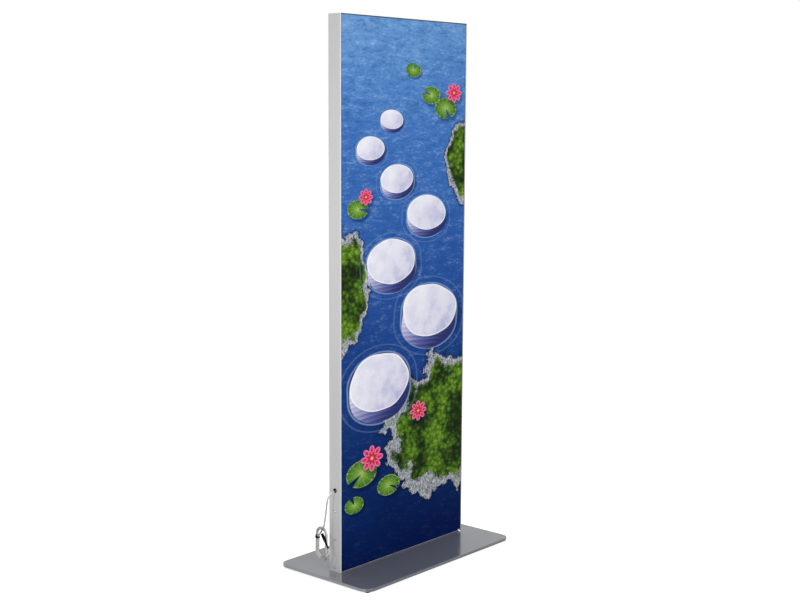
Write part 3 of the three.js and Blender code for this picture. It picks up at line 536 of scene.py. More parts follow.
WATER = [
    (0.0, 0, 22, 76), (0.09, 1, 32, 86), (0.22, 10, 44, 104), (0.40, 26, 66, 136),
    (0.58, 44, 90, 164), (0.76, 62, 112, 184), (0.92, 84, 136, 200), (1.0, 104, 152, 208),
]
PEBBLE = [
    (0.0, 44, 52, 108), (0.26, 92, 98, 158), (0.5, 166, 168, 208), (0.74, 218, 218, 236),
    (1.0, 244, 244, 249),
]
MOSS = [
    (0.0, 24, 38, 18), (0.3, 46, 72, 24), (0.58, 88, 126, 34), (0.82, 122, 160, 50),
    (1.0, 158, 188, 84),
]
SHORE = [(0.0, 74, 78, 88), (0.4, 136, 140, 146), (0.75, 196, 200, 204), (1.0, 224, 226, 230)]
LEAF = [
    (0.0, 168, 196, 92), (0.35, 112, 156, 58), (0.8, 74, 124, 46), (0.93, 58, 102, 40),
    (1.0, 150, 180, 88),
]
PETAL = [
    (0.0, 250, 206, 92), (0.16, 246, 190, 80), (0.22, 168, 20, 66), (0.55, 212, 33, 86),
    (0.85, 234, 92, 134), (1.0, 248, 170, 196),
]
DEEP_SHADE = tone(0, 14, 50)
PRINT_DARKENING = 0.15
STONES = [
    ((-0.135, 0.640), (0.158, 0.102), 0.06), ((0.135, 0.865), (0.152, 0.096), -0.08),
    ((-0.075, 1.058), (0.126, 0.078), 0.05), ((0.112, 1.218), (0.104, 0.062), -0.04),
    ((-0.045, 1.342), (0.086, 0.050), 0.08), ((-0.185, 1.448), (0.070, 0.040), 0.0),
    ((-0.075, 1.545), (0.056, 0.031), -0.05),
]
BANKS = [
    ((0.235, 0.440), (0.330, 0.245), 0.10), ((-0.315, 0.965), (0.125, 0.205), -0.12),
    ((0.335, 1.395), (0.115, 0.150), 0.10),
]
LEAVES = [
    ((-0.225, 0.330), 0.078, 2.4), ((-0.085, 0.262), 0.060, 0.5), ((-0.262, 0.225), 0.048, 4.4),
    ((0.135, 1.630), 0.050, 3.6), ((0.215, 1.585), 0.060, 1.2), ((0.038, 1.715), 0.040, 5.2),
    ((-0.245, 1.245), 0.052, 0.2),
]
BLOSSOMS = [
    ((-0.172, 0.375), 0.058), ((0.262, 1.640), 0.044), ((-0.205, 1.285), 0.036),
    ((0.075, 0.505), 0.046),
]


def water(art, flat):
    """Deep still blue at the foot, to light blue at the top with small ripples that grow with height."""
    height = art.part(flat, "Y")
    cloud = art.noise(flat, 2.2, detail=2)
    level = art.add(height, art.linear(cloud, 0.25, 0.75, -0.11, 0.11))
    depth = art.ramp(art.linear(level, 0.0, PANEL_HEIGHT), *WATER)
    swell = art.noise(art.stretched(flat, (16, 46, 1), turn=0.14), 1.0, detail=5, rough=0.6, bend=0.35)
    ripple = art.noise(art.stretched(flat, (58, 170, 1), turn=-0.1), 1.0, detail=3, rough=0.6, bend=0.5)
    waves = art.add(art.times(swell, 0.55), art.times(ripple, 0.45))
    crest = art.ranged(waves, 0.50, 0.70)
    hollow = art.ranged(waves, 0.51, 0.34)
    reach = art.linear(height, 0.35, 1.7, 0.03, 0.5)
    lit = art.mix(art.times(crest, reach), depth, tone(176, 204, 236))
    return art.mix(art.times(hollow, art.times(reach, 0.9)), lit, tone(8, 40, 108))


def shadow(art, flat, below, centre, size, depth=0.6):
    """A soft dark ellipse down and to the right of what casts it."""
    offset = (centre[0] + 0.16 * size[0], centre[1] - 0.30 * size[1])
    near = art.local(flat, offset, (1.16 * size[0], 1.16 * size[1]))
    share = art.ranged(art.dot(near, near), 1.0, 0.55, 0.0, depth)
    return art.mix(share, below, DEEP_SHADE)


def stone(art, flat, below, centre, size, turn):
    """A round slab: an uneven pale disc over its own shape swept down by a thickness h, in ring ripples.

    With y up from the disc's middle, the sweep is the disc's r at y' = max(y, 0) + min(y + h, 0).
    """
    thick = 0.42
    below = shadow(art, flat, below, centre, size)
    near = art.local(flat, centre, size, turn)
    uneven = art.linear(art.noise(flat, 5.5, detail=1), 0.25, 0.75, -0.16, 0.16)
    across, up = art.part(near, "X"), art.part(near, "Y")
    upper = art.maths("MAXIMUM", up, 0.0)
    lower = art.maths("MINIMUM", art.add(up, thick), 0.0)
    swept_up = art.add(upper, lower)
    squares = art.add(art.times(across, across), art.times(swept_up, swept_up))
    outer = art.add(squares, uneven)
    disc = art.add(art.dot(near, near), uneven)

    grain = art.noise(flat, 260, detail=4, rough=0.7)
    strata = art.bands(art.stretched(near, (0.25, 1, 1)), 1.9, bend=1.6)
    side_light = art.maths("MULTIPLY_ADD", across, -0.36, art.linear(up, -1.35, 0.1, 0.06, 0.5))
    side_tone = art.add(side_light, art.linear(strata, 0.0, 1.0, -0.06, 0.06))
    side = art.ramp(art.add(side_tone, art.ranged(grain, 0.3, 0.7, -0.05, 0.05)), *PEBBLE)

    stain = art.noise(flat, 16, detail=5, rough=0.6)
    top_light = art.maths("MULTIPLY_ADD", art.dot(near, (-0.5, 0.35, 0)), 0.22, 0.8)
    top_tone = art.add(top_light, art.ranged(stain, 0.35, 0.7, 0.06, -0.12))
    top = art.ramp(art.add(top_tone, art.ranged(grain, 0.3, 0.7, -0.03, 0.03)), *PEBBLE)
    rim = art.mix(art.ranged(disc, 0.86, 0.96, 0.0, 0.75), top, tone(255, 255, 255))

    ring = art.maths("SINE", art.times(art.maths("SQRT", squares), 26.0))
    fade = art.ranged(squares, 1.9, 1.05, 0.0, 0.34)
    ripples = art.mix(art.times(art.ranged(ring, 0.55, 1.0), fade), below, tone(186, 210, 240))
    body = art.mix(art.ranged(outer, 1.02, 0.98), ripples, side)
    return art.mix(art.ranged(disc, 1.0, 0.97), body, rim)


def bank(art, flat, below, centre, size, turn):
    """Mossy ground: an ellipse with a wavering edge, a shore of grey grit, and tufts in drifts."""
    near = art.local(flat, centre, size, turn)
    waver = art.noise(flat, 9, detail=5, rough=0.55)
    edge = art.add(art.reach(near), art.linear(waver, 0.2, 0.8, -0.34, 0.34))
    tufts = art.cells(art.stretched(flat, (1, 1.25, 1)), 52)
    fine = art.noise(flat, 170, detail=5, rough=0.7)
    drift = art.noise(flat, 8, detail=3)
    growth = art.maths("SUBTRACT", art.maths("MULTIPLY_ADD", fine, 0.95, 0.12), art.times(tufts, 0.62))
    ground = art.ramp(art.add(growth, art.ranged(drift, 0.38, 0.62, -0.14, 0.3)), *MOSS)
    grit = art.noise(art.stretched(flat, (1, 0.55, 1)), 150, detail=4, rough=0.75)
    shore = art.ramp(art.linear(grit, 0.32, 0.68), *SHORE)
    ragged = art.add(edge, art.linear(fine, 0.3, 0.7, -0.05, 0.05))
    shade = art.mix(art.ranged(edge, 1.12, 1.0, 0.0, 0.6), below, tone(0, 14, 46))
    land = art.mix(art.ranged(ragged, 1.0, 0.985), shade, shore)
    return art.mix(art.ranged(ragged, 0.9, 0.83), land, ground)


def leaf(art, flat, below, centre, radius, turn):
    """A floating round leaf seen aslant: veins where |sin 6a| is small, and a notch about angle zero."""
    size = (radius, 0.62 * radius)
    below = shadow(art, flat, below, centre, size, depth=0.5)
    near = art.node("Mapping", {0: art.local(flat, centre, size), 2: (0, 0, turn)})
    angle, reach = art.angle(near), art.reach(near)
    vein = art.absolute(art.maths("SINE", art.times(angle, 6.0)))
    mottle = art.noise(flat, 130, detail=3)
    green = art.ramp(art.add(reach, art.ranged(mottle, 0.3, 0.7, -0.1, 0.1)), *LEAF)
    body = art.mix(art.ranged(vein, 0.16, 0.02, 0.0, 0.5), green, tone(190, 212, 130))
    past_notch = art.ranged(art.absolute(angle), 0.17, 0.23)
    return art.mix(art.times(art.ranged(reach, 1.02, 0.97), past_notch), below, body)


def blossom(art, flat, below, centre, radius):
    """Two rings of petals: r stays inside 0.6 + 0.4 |cos 4a|, the inner ring turned by half a petal."""
    size = (radius, 0.8 * radius)
    below = shadow(art, flat, below, centre, size, depth=0.45)
    near = art.local(flat, centre, size)
    angle, reach = art.angle(near), art.reach(near)
    for spread, lean in ((1.0, 0.0), (0.66, 0.393)):
        turn = art.times(art.add(angle, lean), 4.0)
        petals = art.absolute(art.maths("COSINE", turn))
        edge = art.linear(petals, 0.0, 1.0, 0.6 * spread, spread)
        share = art.maths("DIVIDE", reach, edge)
        crease = art.ranged(petals, 0.85, 1.0, 0.0, 0.12)
        colour = art.ramp(art.maths("SUBTRACT", share, crease), *PETAL)
        below = art.mix(art.ranged(share, 1.03, 0.97), below, colour)
    return below


def printed_textile():
    """The pond, dye-printed on knitted polyester, with a painted glow: the print emits a little of its own
    colours, standing in for the LED light behind it.
    """
    # Painted glow: Emission Color is the picture itself at a low strength, though the print is no lamp.
    finish = Finish("printed_textile", Specular_IOR_Level=0.04, Emission_Strength=0.08)
    flat = finish.flat_place()
    picture = water(finish, flat)
    for place in BANKS:
        picture = bank(finish, flat, picture, *place)
    for place in LEAVES:
        picture = leaf(finish, flat, picture, *place)
    for place in reversed(STONES):
        picture = stone(finish, flat, picture, *place)
    for place in BLOSSOMS:
        picture = blossom(finish, flat, picture, *place)
    picture = finish.mix(PRINT_DARKENING, picture, (0, 0, 0, 1))
    # Painted shade: a dark band along the print's left and right edges, where it rolls into the groove.
    from_middle = finish.absolute(finish.part(flat, "X"))
    painted_groove_shade = finish.ranged(from_middle, HALF_PRINT - 2.4 * MM, HALF_PRINT - 1.2 * MM, 0.0, 0.75)
    picture = finish.mix(painted_groove_shade, picture, tone(6, 6, 14))
    wales = finish.bands(flat, 260, direction="X")
    loops = finish.times(wales, finish.bands(flat, 260, direction="Y"))
    slack = finish.noise(finish.stretched(flat, (3, 1.5, 1)), 1.0, detail=1)
    return finish.shade(
        Base_Color=picture,
        Roughness=finish.linear(loops, 0.0, 1.0, 0.7, 0.62),
        Emission_Color=picture,
        Normal=finish.node("Bump", {
            "Strength": 0.12,
            "Distance": 0.00008,
            "Height": loops,
            "Normal": finish.bump(slack, 0.04, 0.004),
        }),
    )


# The finishes that several pieces share

# The lips' tones are painted light: the left bar's lip is painted bright as if lit, and the right, foot and
# top lips are painted dark as shade.
ANODISED = {
    "left_profile": anodised("anodised_left_painted_lit_lip", "z", tone(236, 236, 236)),
    "right_profile": anodised("anodised_right_painted_lip_shade", "z", tone(172, 169, 172)),
    "bottom_profile": anodised("anodised_foot_painted_lip_shade", "x", tone(92, 89, 96)),
    "top_profile": anodised("anodised_top_painted_lip_shade", "x", tone(52, 52, 66)),
}
POWDER = powder_coat()
ZINC = bright_zinc()
SHEATH = cord_sheath()
TAPE = woven_tape()
TEXTILE = printed_textile()
RUBBER = moulded(
    "black_rubber", (120, 3), (1400, 3), [(0.35, 5, 5, 6), (0.75, 14, 14, 15)], (0.62, 0.8), (0.25, 0.0001),
    Specular_IOR_Level=0.05)
BLACK_MOULDING = moulded(
    "black_moulding", (60, 2), (1100, 3), [(0.3, 3, 3, 4), (0.7, 9, 9, 10)], (0.42, 0.54), (0.15, 0.00008),
    Specular_IOR_Level=0.07)
WHITE_MOULDING = moulded(
    "white_moulding", (60, 2), (900, 3), [(0.3, 224, 224, 220), (0.7, 236, 236, 233)], (0.4, 0.52),
    (0.15, 0.00008), Specular_IOR_Level=0.5)
WIRE = moulded(
    "inner_wire", (300, 3), (300, 3), [(0.3, 214, 214, 210), (0.7, 230, 230, 227)], (0.38, 0.5),
    (0.05, 0.0001))
SILICONE = moulded(
    "silicone", (700, 2), (700, 2), [(0.3, 218, 218, 213), (0.7, 230, 230, 226)], (0.45, 0.6),
    (0.1, 0.0001), Subsurface_Weight=0.2, Subsurface_Scale=0.003)


# Supply lead: its route repeats the frame's points, in metres from the middle of the panel's foot

HANK_PLACE = np.array([-374, 20.5, 109.1]) * MM
HANK_HALF_RUN = 29.8 * MM
HANK_FOLD_RADIUS = 14.1 * MM
HANK_PITCH = 5.75 * MM
HANK_START_ABOVE = 15.7 * MM
HANK_LOOPS = 2
HANK_RUN_SHARE = 0.27
HANK_STEPS_PER_LOOP = 48
GROMMET_FACE = -HALF_WIDTH - 1.2 * MM
LEAD_ROUTE = [
    (-345.5, 0, 284.1), (-355.4, -0.6, 278.8), (-363.4, -0.8, 269.4), (-368.4, -0.4, 257.5),
    (-370.8, 0, 244.2), (-372.5, 0, 229.9), (-375.2, -0.3, 215.5), (-378.8, -0.6, 201.5),
    (-381.9, -0.6, 187.7), (-383, 0.9, 174.6), (-382.7, 6.6, 163.5), (-379.3, 15.6, 154.6),
    (-373.2, 26, 144.6), (-373.5, 33.2, 135.9),
]
TAIL_ROUTE = [
    (-375, 2.5, 53.4), (-379.1, -4, 58), (-385.1, -11.6, 69.4), (-381.5, -19.9, 83),
    (-380.4, -20.3, 88.6),
]
SOCKET_START = np.array([-380.6, -16.7, 97.9]) * MM
SOCKET_END = np.array([-385, 9.3, 147.2]) * MM
SOCKET_DIRECTION = unit(SOCKET_END - SOCKET_START)


def hank_points():
    """Down the left run, under, up the right run and over, on a fold radius that grows by a pitch a turn."""
    start = HANK_RUN_SHARE * (1 - HANK_START_ABOVE / HANK_HALF_RUN) / 2
    end = HANK_LOOPS + (HANK_RUN_SHARE + 0.5) / 2
    turns = np.linspace(start, end, round(HANK_STEPS_PER_LOOP * (end - start)))
    radius = HANK_FOLD_RADIUS + HANK_PITCH * turns
    around = turns % 1
    half_turn = np.where(around < 0.5, 1, -1)
    part = around % 0.5
    angle = np.pi * (part - HANK_RUN_SHARE) / (0.5 - HANK_RUN_SHARE)
    on_run = part < HANK_RUN_SHARE
    y = half_turn * radius * np.where(on_run, 1, np.cos(angle))
    run = HANK_HALF_RUN * (1 - 2 * part / HANK_RUN_SHARE)
    z = half_turn * np.where(on_run, run, -(HANK_HALF_RUN + radius * np.sin(angle)))
    return HANK_PLACE + np.stack([0 * y, y, z], 1)


def smooth_line(points, spacing):
    """A centripetal Catmull-Rom curve: cubic Hermite spans, with tangents weighted by root chords."""
    points = np.asarray(points, float)
    padded = np.vstack([2 * points[0] - points[1], points, 2 * points[-1] - points[-2]])
    a, b, c, d = padded[:-3], padded[1:-2], padded[2:-1], padded[3:]
    root = np.sqrt(np.linalg.norm(np.diff(padded, axis=0), axis=1))[:, None]
    first, middle, last = root[:-2], root[1:-1], root[2:]
    leaving = ((b - a) / first - (c - a) / (first + middle) + (c - b) / middle) * middle
    arriving = ((c - b) / middle - (d - b) / (middle + last) + (d - c) / last) * middle
    t = np.linspace(0, 1, 24, endpoint=False)[None, :, None]
    b, c, leaving, arriving = (x[:, None] for x in (b, c, leaving, arriving))
    curve = ((2 * t ** 3 - 3 * t ** 2 + 1) * b + (t ** 3 - 2 * t ** 2 + t) * leaving
             + (3 * t ** 2 - 2 * t ** 3) * c + (t ** 3 - t ** 2) * arriving)
    dense = np.vstack([curve.reshape(-1, 3), points[-1:]])
    along = np.concatenate([[0], np.cumsum(np.linalg.norm(np.diff(dense, axis=0), axis=1))])
    even = np.linspace(0, along[-1], round(along[-1] / spacing))
    return np.stack([np.interp(even, along, dense[:, axis]) for axis in range(3)], 1), along[-1]


def lead_line():
    """From the grommet through the hank to the socket, straight for a diameter at each joint of the frame."""
    stub = CORD_GAP + CORD_DIAMETER
    exit_point = np.array([GROMMET_FACE, 0, CORD_EXIT_HEIGHT])
    hank = hank_points()
    into = unit(hank[1] - hank[0])
    out = np.array([0, -1, 0])
    points = np.vstack([
        [exit_point, exit_point - [stub, 0, 0]],
        np.array(LEAD_ROUTE) * MM,
        [hank[0] - into * stub],
        hank,
        [hank[-1] + out * CORD_DIAMETER, hank[-1] + out * (CORD_DIAMETER + stub)],
        np.array(TAIL_ROUTE) * MM,
        [SOCKET_START - SOCKET_DIRECTION * stub, SOCKET_START],
    ])
    return smooth_line(points + [0, 0, PANEL_FOOT], 1.5 * MM)


def with_flat_map(piece, coordinates):
    """Gives the piece a UV map in metres from a function of its points."""
    mesh = piece.data
    points = np.empty(len(mesh.vertices) * 3, np.float32)
    mesh.vertices.foreach_get("co", points)
    corners = np.empty(len(mesh.loops), np.int32)
    mesh.loops.foreach_get("vertex_index", corners)
    layer = mesh.uv_layers.new(name="flat")
    flat = coordinates(points.reshape(-1, 3).astype(float))
    layer.data.foreach_set("uv", flat[corners].astype(np.float32).ravel())
    return piece


def supply_lead():
    """A round tube on the whole line; the side vector leans out of the hank's plane, so it never twists."""
    line, length = lead_line()
    side = np.tile([0.8, 0.5, 0.33], (len(line), 1))
    rings = swept(line, side, circle(CORD_DIAMETER / 2, 20))
    lead = link("supply_lead", rings, capped_faces(rings), SHEATH)
    sides = rings.shape[1]
    along = np.repeat(np.linspace(0, length, len(line)), sides)
    around = np.tile(np.linspace(0, np.pi * CORD_DIAMETER, sides, endpoint=False), len(line))
    with_flat_map(lead, lambda points: np.column_stack([along, around]))
    dress(lead, "white_cord", "cord_lead", "cord_hank", "cord_tail")
    return lead, line, length


# The pieces on the lead

SOCKET_BODY = [
    (0, 0), (2.8, 0), (3.3, 0.5), (3.4, 3.1), (2.7, 3.4), (2.7, 4.8), (3.45, 5.1), (3.5, 7.4),
    (2.75, 7.7), (2.75, 9.1), (3.6, 9.4), (3.65, 11.7), (2.85, 12.0), (2.85, 13.4), (3.75, 13.7),
    (3.8, 16.0), (2.95, 16.3), (2.95, 17.7), (3.85, 18.0), (4.0, 22.5), (4.4, 24.8), (5.0, 26.5),
    (5.0, 32.3), (5.3, 32.5), (5.3, 33.7), (5.05, 34.0), (5.05, 35.3), (5.3, 35.6), (5.3, 51.6),
    (5.0, 53.7), (5.0, 55.5), (2.85, 55.5), (2.85, 45.5), (0, 45.5),
]
SOCKET_PIN = [(0, 45.52), (1.05, 45.52), (1.05, 53.1), (0, 53.55)]


def socket_pieces():
    """The moulded socket: tapered ribbed relief, barrel with a collar, open bore and its pin."""
    outline = eased(np.array(SOCKET_BODY) * MM, 0.35 * MM, 3)
    start = SOCKET_START + [0, 0, PANEL_FOOT]
    body = lathed("socket_shell", outline, start, SOCKET_DIRECTION, BLACK_MOULDING)
    dress(body, "black_plastic", "socket_body")
    pin_outline = eased(np.array(SOCKET_PIN) * MM, 0.3 * MM)
    pin = lathed("socket_contact", pin_outline, start, SOCKET_DIRECTION, ZINC, steps=24)
    dress(pin, "screw_steel", "socket_pin")
    return [body, pin]


def cable_tie():
    """A strap in a rounded loop round three strands, its lock head outside, and the tail cut short."""
    low, high = (np.array(corner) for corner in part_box("cable_tie"))
    strap, width, inner = 1.2 * MM, 4.6 * MM, CORD_DIAMETER / 2 + CORD_GAP
    middle_z = (low[2] + high[2]) / 2
    centre = np.array([HANK_PLACE[0], (low[1] + high[1]) / 2, middle_z])
    half = np.array([inner + strap / 2, (high[1] - low[1]) / 2 - strap / 2])
    outline = rounded_outline(*half, inner, 10)
    path = centre + np.column_stack([outline, 0 * outline[:, 0]])
    outward = np.roll(outline, -1, 0) - np.roll(outline, 1, 0)
    outward = unit(np.column_stack([outward[:, 1], -outward[:, 0], 0 * outward[:, 0]]))
    section = rounded_outline(strap / 2, width / 2, 0.4 * MM, 3)
    rings = path[:, None] + section[None, :, :1] * outward[:, None] + section[None, :, 1:] * [0, 0, 1]
    loop = link("tie_strap", rings, ring_faces(rings, closed=True), BLACK_MOULDING)
    dress(loop, "black_plastic", "cable_tie")

    head_half, head_depth = 3.5 * MM, 4.4 * MM
    head_low = [low[0], centre[1] - head_half, low[2]]
    head_high = [low[0] + head_depth, centre[1] + head_half, high[2]]
    head = soft_block("tie_head", head_low, head_high, 0.7 * MM, BLACK_MOULDING)
    dress(head, "black_plastic")

    t = np.linspace(0, 1, 16)[:, None]
    root = np.array([low[0] + 1.0 * MM, centre[1] + 0.5 * MM, middle_z])
    tail_path = root + t * [-2.2 * MM, 0, 10 * MM] + t ** 2 * [1.0 * MM, -2.0 * MM, 2 * MM]
    tail_section = rounded_outline(2.0 * MM, 0.55 * MM, 0.3 * MM, 3)
    tail_rings = swept(tail_path, np.tile([0.0, 1.0, 0.0], (16, 1)), tail_section)
    tail = link("tie_tail", tail_rings, capped_faces(tail_rings), BLACK_MOULDING)
    dress(tail, "black_plastic")
    return [loop, head, tail]


def grommet():
    """A turned rubber ring with a domed flange, which seats in the side profile's hole."""
    bore = GROMMET_BORE / 2 / MM
    outline = np.array([
        (bore, 2.0), (bore, -0.9), (bore + 0.2, -2.0), (5.9, -2.5), (6.9, -2.0), (7.5, -0.9),
        (7.5, -0.05), (6, -0.05), (6, 2.05), (6.8, 2.1), (6.8, 3.2), (6.2, 3.8), (bore, 3.8), (bore, 2.0),
    ]) * MM
    middle = (-HALF_WIDTH, 0, CORD_HOLE_HEIGHT + PANEL_FOOT)
    ring = lathed("grommet_ring", eased(outline, 0.8 * MM, 4), middle, (1, 0, 0), RUBBER, steps=64)
    return dress(ring, "black_rubber", "cord_grommet")


# Screws

def cross_recess(x, y, reach, width, depth):
    """Depth times a cross of two bars with soft walls: how near a point is to either bar."""
    bar = np.minimum(np.abs(x), np.abs(y))
    radius = np.hypot(x, y)
    wall = np.clip((width / 2 - bar) / (0.12 * width) + 0.5, 0, 1)
    end = np.clip((reach - radius) / (0.15 * reach), 0, 1)
    return depth * wall * end * (1 - 0.45 * radius / reach)


def screw_head(name, node, axis, radius, recess_reach, flat=False):
    """A crown that falls by height * r^4, minus a cross recess, then the rim and shank on the node's axis."""
    low, high = (np.array(corner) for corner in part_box(node))
    centre = (low + high) / 2
    axis = np.array(axis, float)
    outer = np.where(axis > 0, high, low)
    inner = np.where(axis > 0, low, high)
    top = centre * (1 - np.abs(axis)) + outer * np.abs(axis)
    length = float(np.abs((outer - inner) @ axis))
    height, shank = 2.8 * MM, (2.2 if flat else 2) * MM
    ring = circle(1, 72)
    shares = np.linspace(0, 1, 30)[:, None]
    x, y = radius * shares * ring[:, 0], radius * shares * ring[:, 1]
    fall = 0 if flat else 0.62 * height
    crown = -fall * shares ** 4 - cross_recess(x, y, recess_reach, 0.34 * recess_reach, 0.62 * recess_reach)
    rest = [(shank, -height), (shank, -length), (0, -length)]
    if not flat:
        rest.insert(0, (radius, -height + 0.05 * MM))
    side = np.stack([np.column_stack([r * ring, np.full(len(ring), z)]) for r, z in rest])
    rings = top + np.concatenate([np.stack([x, y, crown], -1), side]) @ basis_about(axis)
    piece = link(name, rings, ring_faces(rings), ZINC, 30)
    return dress(piece, "screw_steel", node)


def screws():
    """Three pan heads on each side of the panel, and four flat heads under the plate."""
    for side, x in (("left", -1), ("right", 1)):
        for number in (1, 2, 3):
            screw_head(f"{side}_pan_screw_{number}", f"{side}_base_screw_{number}", (x, 0, 0),
                       radius=4.5 * MM, recess_reach=2.3 * MM)
    for number in (1, 2, 3, 4):
        screw_head(f"flat_screw_{number}", f"plate_screw_{number}", (0, 0, -1),
                   radius=4.8 * MM, recess_reach=2.4 * MM, flat=True)


# Base plate

def base_plate():
    """Rounded outlines stacked with a quarter-round edge, and both faces pierced by the four screw holes."""
    low, high = PLATE_BOX
    height = high.z - low.z
    rise, run = quarter(PLATE_EDGE, 4)
    insets = np.concatenate([[PLATE_FACE_INSET], run, rise, [PLATE_FACE_INSET]])
    levels = low.z + np.concatenate([[0], rise, height - run, [height]])
    shells = [stacked((high.x, high.y), PLATE_CORNER, insets, levels, 24)]
    hole_outline = [(5.1 * MM, 0), (2.5 * MM, 3.1 * MM), (2.5 * MM, height)]
    for number in (1, 2, 3, 4):
        screw_low, screw_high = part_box(f"plate_screw_{number}")
        middle = ((screw_low.x + screw_high.x) / 2, (screw_low.y + screw_high.y) / 2, low.z)
        shells.append(turned(hole_outline, middle, (0, 0, 1), 32))
    made = bmesh.new()
    rims = []
    for shell in shells:
        verts = [made.verts.new(point) for point in shell.reshape(-1, 3)]
        for quad in ring_faces(shell):
            made.faces.new([verts[index] for index in quad])
        columns = shell.shape[1]
        rims.append((verts[:columns], verts[-columns:]))
    for loops in zip(*rims):
        edges = [made.edges.get((a, b)) for loop in loops for a, b in zip(loop, loop[1:] + loop[:1])]
        bmesh.ops.triangle_fill(made, edges=edges, use_beauty=True)
    bmesh.ops.recalc_face_normals(made, faces=made.faces)
    mesh = bpy.data.meshes.new("plate_body")
    made.to_mesh(mesh)
    made.free()
    return dress(skinned("plate_body", mesh, POWDER, 35), "powder_coated_steel", "base_plate")


# Frame profiles: the frame's own bars with their long lip edges broken

def lip_edges(made):
    """The long edges of a bar where its outer faces meet: sharp, over 0.5 m, and on the panel's skin."""
    found = []
    for edge in made.edges:
        if edge.calc_length() < 0.5 or len(edge.link_faces) != 2:
            continue
        middle = (edge.verts[0].co + edge.verts[1].co) / 2
        if edge.calc_face_angle(0) > math.radians(60) and abs(abs(middle.y) - HALF_DEPTH) < 0.01 * MM:
            found.append(edge)
    return found


def profile_bar(node, finish):
    """The frame's own bar: each long lip edge gives way to an arc that meets both faces."""
    made = welded(NODES[node].data)
    bmesh.ops.dissolve_limit(made, angle_limit=math.radians(0.5), verts=made.verts, edges=made.edges)
    bmesh.ops.bevel(made, geom=lip_edges(made), offset=LIP_EDGE, segments=3, profile=0.5, affect="EDGES")
    mesh = bpy.data.meshes.new(node + "_bar")
    made.to_mesh(mesh)
    made.free()
    return dress(skinned(node + "_bar", mesh, finish), "anodised_aluminium", node)


# Prints: a taut sheet that rolls over its edge into the groove

def textile(name, node, facing):
    """Rounded outlines: the hem stands in the groove, a quarter circle rolls it over to the flat face."""
    low, high = (np.array(corner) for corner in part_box(node))
    half_x, half_z = (high[0] - low[0]) / 2, (high[2] - low[2]) / 2
    centre_z = (high[2] + low[2]) / 2
    face = facing * max(abs(low[1]), abs(high[1]))
    hem = high[1] - low[1]
    rise, run = quarter(PRINT_ROLL, 6)
    insets = np.concatenate([[0, 0], rise, [PRINT_FACE_INSET]])
    depths = np.concatenate([[hem, hem / 2], run, [0]])
    rings = stacked((half_x, half_z), PRINT_CORNER, insets, depths, 6)
    points = np.stack([rings[..., 0], face - facing * rings[..., 2], rings[..., 1] + centre_z], -1)
    mesh = bpy.data.meshes.new(name)
    mesh.from_pydata(points.reshape(-1, 3).tolist(), [], capped_faces(rings, ends=[-1]))
    if mesh.polygons[-1].normal.y * facing < 0:
        mesh.flip_normals()
    sheet = skinned(name, mesh, TEXTILE, 60)
    with_flat_map(sheet, lambda p: np.stack([-facing * p[:, 0], p[:, 2] - PANEL_FOOT], 1))
    wall = sheet.modifiers.new("thickness", "SOLIDIFY")
    wall.thickness = PRINT_THICKNESS
    wall.offset = -1
    dress(sheet, "printed_textile", node)
    return sheet, (2 * half_x + 2 * hem, 2 * half_z + 2 * hem)


TAB_ROUTE_SHARES = [(0, 0.98), (0, 0.66), (0.09, 0.5), (0.3, 0.4), (0.65, 0.23), (1, 0)]


def pull_tab(name, node, facing):
    """A flat tape out of the groove, over the lip and down to the plate.

    Its half width is w for most of its length, and w sqrt(1 - u^2) over the last w of it, with u from 0 to 1.
    """
    low, high = (np.array(corner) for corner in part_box(node))
    half_width = (high[0] - low[0]) / 2
    near, far = sorted((abs(low[1]), abs(high[1])))
    shares = np.array(TAB_ROUTE_SHARES)
    out = near + TAB_THICKNESS / 2 + shares[:, 0] * (far - near - TAB_THICKNESS)
    up = low[2] + TAB_THICKNESS / 2 + shares[:, 1] * (high[2] - low[2] - TAB_THICKNESS)
    middle = (low[0] + high[0]) / 2
    path, length = smooth_line(np.column_stack([0 * out + middle, facing * out, up]), 0.4 * MM)
    section = rounded_outline(half_width, TAB_THICKNESS / 2, 0.25 * MM, 3)
    rings = swept(path, np.tile([1.0, 0, 0], (len(path), 1)), section)
    along = np.linspace(0, length, len(path))
    rounding = np.clip((along - length + half_width) / half_width, 0, 0.99)
    rings[..., 0] = middle + (rings[..., 0] - middle) * np.sqrt(1 - rounding ** 2)[:, None]
    tab = link(name, rings, capped_faces(rings), TAPE)
    with_flat_map(tab, lambda p: np.stack([p[:, 0], facing * p[:, 1] + p[:, 2]], 1))
    return dress(tab, "white_tape", node)


# Finishes of the frame's own nodes that stay

def paint(finish, *words):
    """Puts a finish on every CAD node with one of the words in its name."""
    for name, node in NODES.items():
        if any(word in name for word in words):
            node.data.materials.clear()
            node.data.materials.append(finish)


# Stage: floor, world and lamps

WORLD_LIGHT = 0.5
WORLD_IN_GLOSS = 0.62
FLOOR_REACH = 40
FLOOR_GLOW = 0.74
FLOOR_GLOW_IN_GLOSS = 0.06


def floor_finish():
    """A pale floor that keeps a shadow, and looks nearly white to the camera and in reflections."""
    finish = Finish("floor")
    finish.tree.nodes.remove(finish.shader)
    seen, in_gloss = finish.rays()
    glint = finish.times(in_gloss, FLOOR_GLOW_IN_GLOSS)
    direct = finish.maths("MULTIPLY_ADD", seen, FLOOR_GLOW, glint)
    grain = finish.noise(finish.place(), 3, detail=3)
    pale = finish.ramp(grain, (0.0, 204, 204, 205), (1.0, 208, 208, 209))
    lit = finish.node("BsdfDiffuse", {"Color": pale})
    glow = finish.node("Emission", {"Color": (1, 1, 1, 1), "Strength": direct})
    both = finish.node("AddShader", {0: lit, 1: glow})
    finish.fill(finish.tree.nodes["Material Output"], {"Surface": both})
    return finish.material


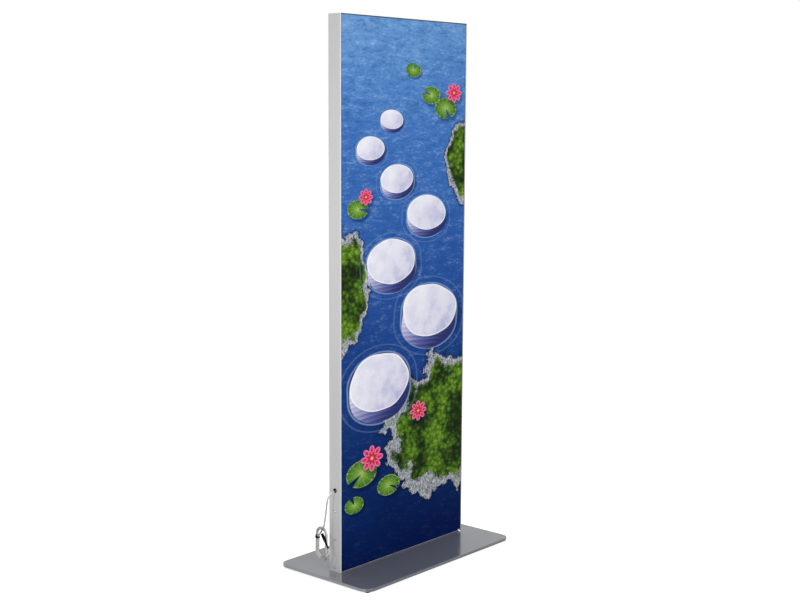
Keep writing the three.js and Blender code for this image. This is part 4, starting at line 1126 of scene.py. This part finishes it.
def stage():
    """A wide flat floor, and a white world that gives half the light that the camera sees of it."""
    mesh = bpy.data.meshes.new("floor")
    corners = [(x * FLOOR_REACH, y * FLOOR_REACH, 0) for x, y in ((-1, -1), (1, -1), (1, 1), (-1, 1))]
    mesh.from_pydata(corners, [], [(0, 1, 2, 3)])
    floor = skinned("floor", mesh, floor_finish())

    world = bpy.data.worlds.new("studio")
    world.use_nodes = True
    sky = Nodes(world.node_tree)
    seen, in_gloss = sky.rays()
    light = sky.linear(in_gloss, 0.0, 1.0, WORLD_LIGHT, WORLD_IN_GLOSS)
    strength = sky.maths("MAXIMUM", light, seen)
    sky.fill(sky.tree.nodes["Background"], {"Color": (1, 1, 1, 1), "Strength": strength})
    bpy.context.scene.world = world


def lamp(name, place, target, size, watts):
    """A square lamp of that size, turned from its place to its target."""
    data = bpy.data.lights.new(name, "AREA")
    data.shape = "RECTANGLE"
    data.size = data.size_y = size
    data.energy = watts
    light = in_scene(name, data)
    light.location = place
    light.rotation_mode = "QUATERNION"
    light.rotation_quaternion = (Vector(target) - Vector(place)).to_track_quat("-Z", "Y")


photo_camera()
lead, lead_path, lead_length = supply_lead()
tie_pieces = cable_tie()
socket_parts = socket_pieces()
grommet()
screws()
base_plate()
for bar_node, bar_finish in ANODISED.items():
    profile_bar(bar_node, bar_finish)
for side_name, side_facing in (("front", -1), ("rear", 1)):
    sheet, cut_size = textile(f"{side_name}_textile", f"{side_name}_print", side_facing)
    tab = pull_tab(f"{side_name}_tape_tab", f"{side_name}_pull_tab", side_facing)
paint(ANODISED["top_profile"], "crossbar")
paint(cast_metal(), "bracket", "crossbar_foot")
paint(POWDER, "upright")
paint(RUBBER, "rubber_pad")
paint(SILICONE, "edge_strip")
paint(WHITE_MOULDING, "junction")
paint(WIRE, "lead_inner", "led_lead", "led_jumper")
paint(led_board(), "led_strip")

stage()
lamp("left_lamp", place=(-1.8, -0.34, 1.32), target=(-0.33, 0, 1.3), size=0.12, watts=12)
lamp("front_lamp", place=(-0.5, -4.5, 3.0), target=(0, 0, 0.9), size=2.6, watts=122)
lamp("top_lamp", place=(0.8, 0.6, 4.2), target=(0, 0, 0.5), size=2.5, watts=50)

bpy.context.scene.view_settings.view_transform = "Standard"
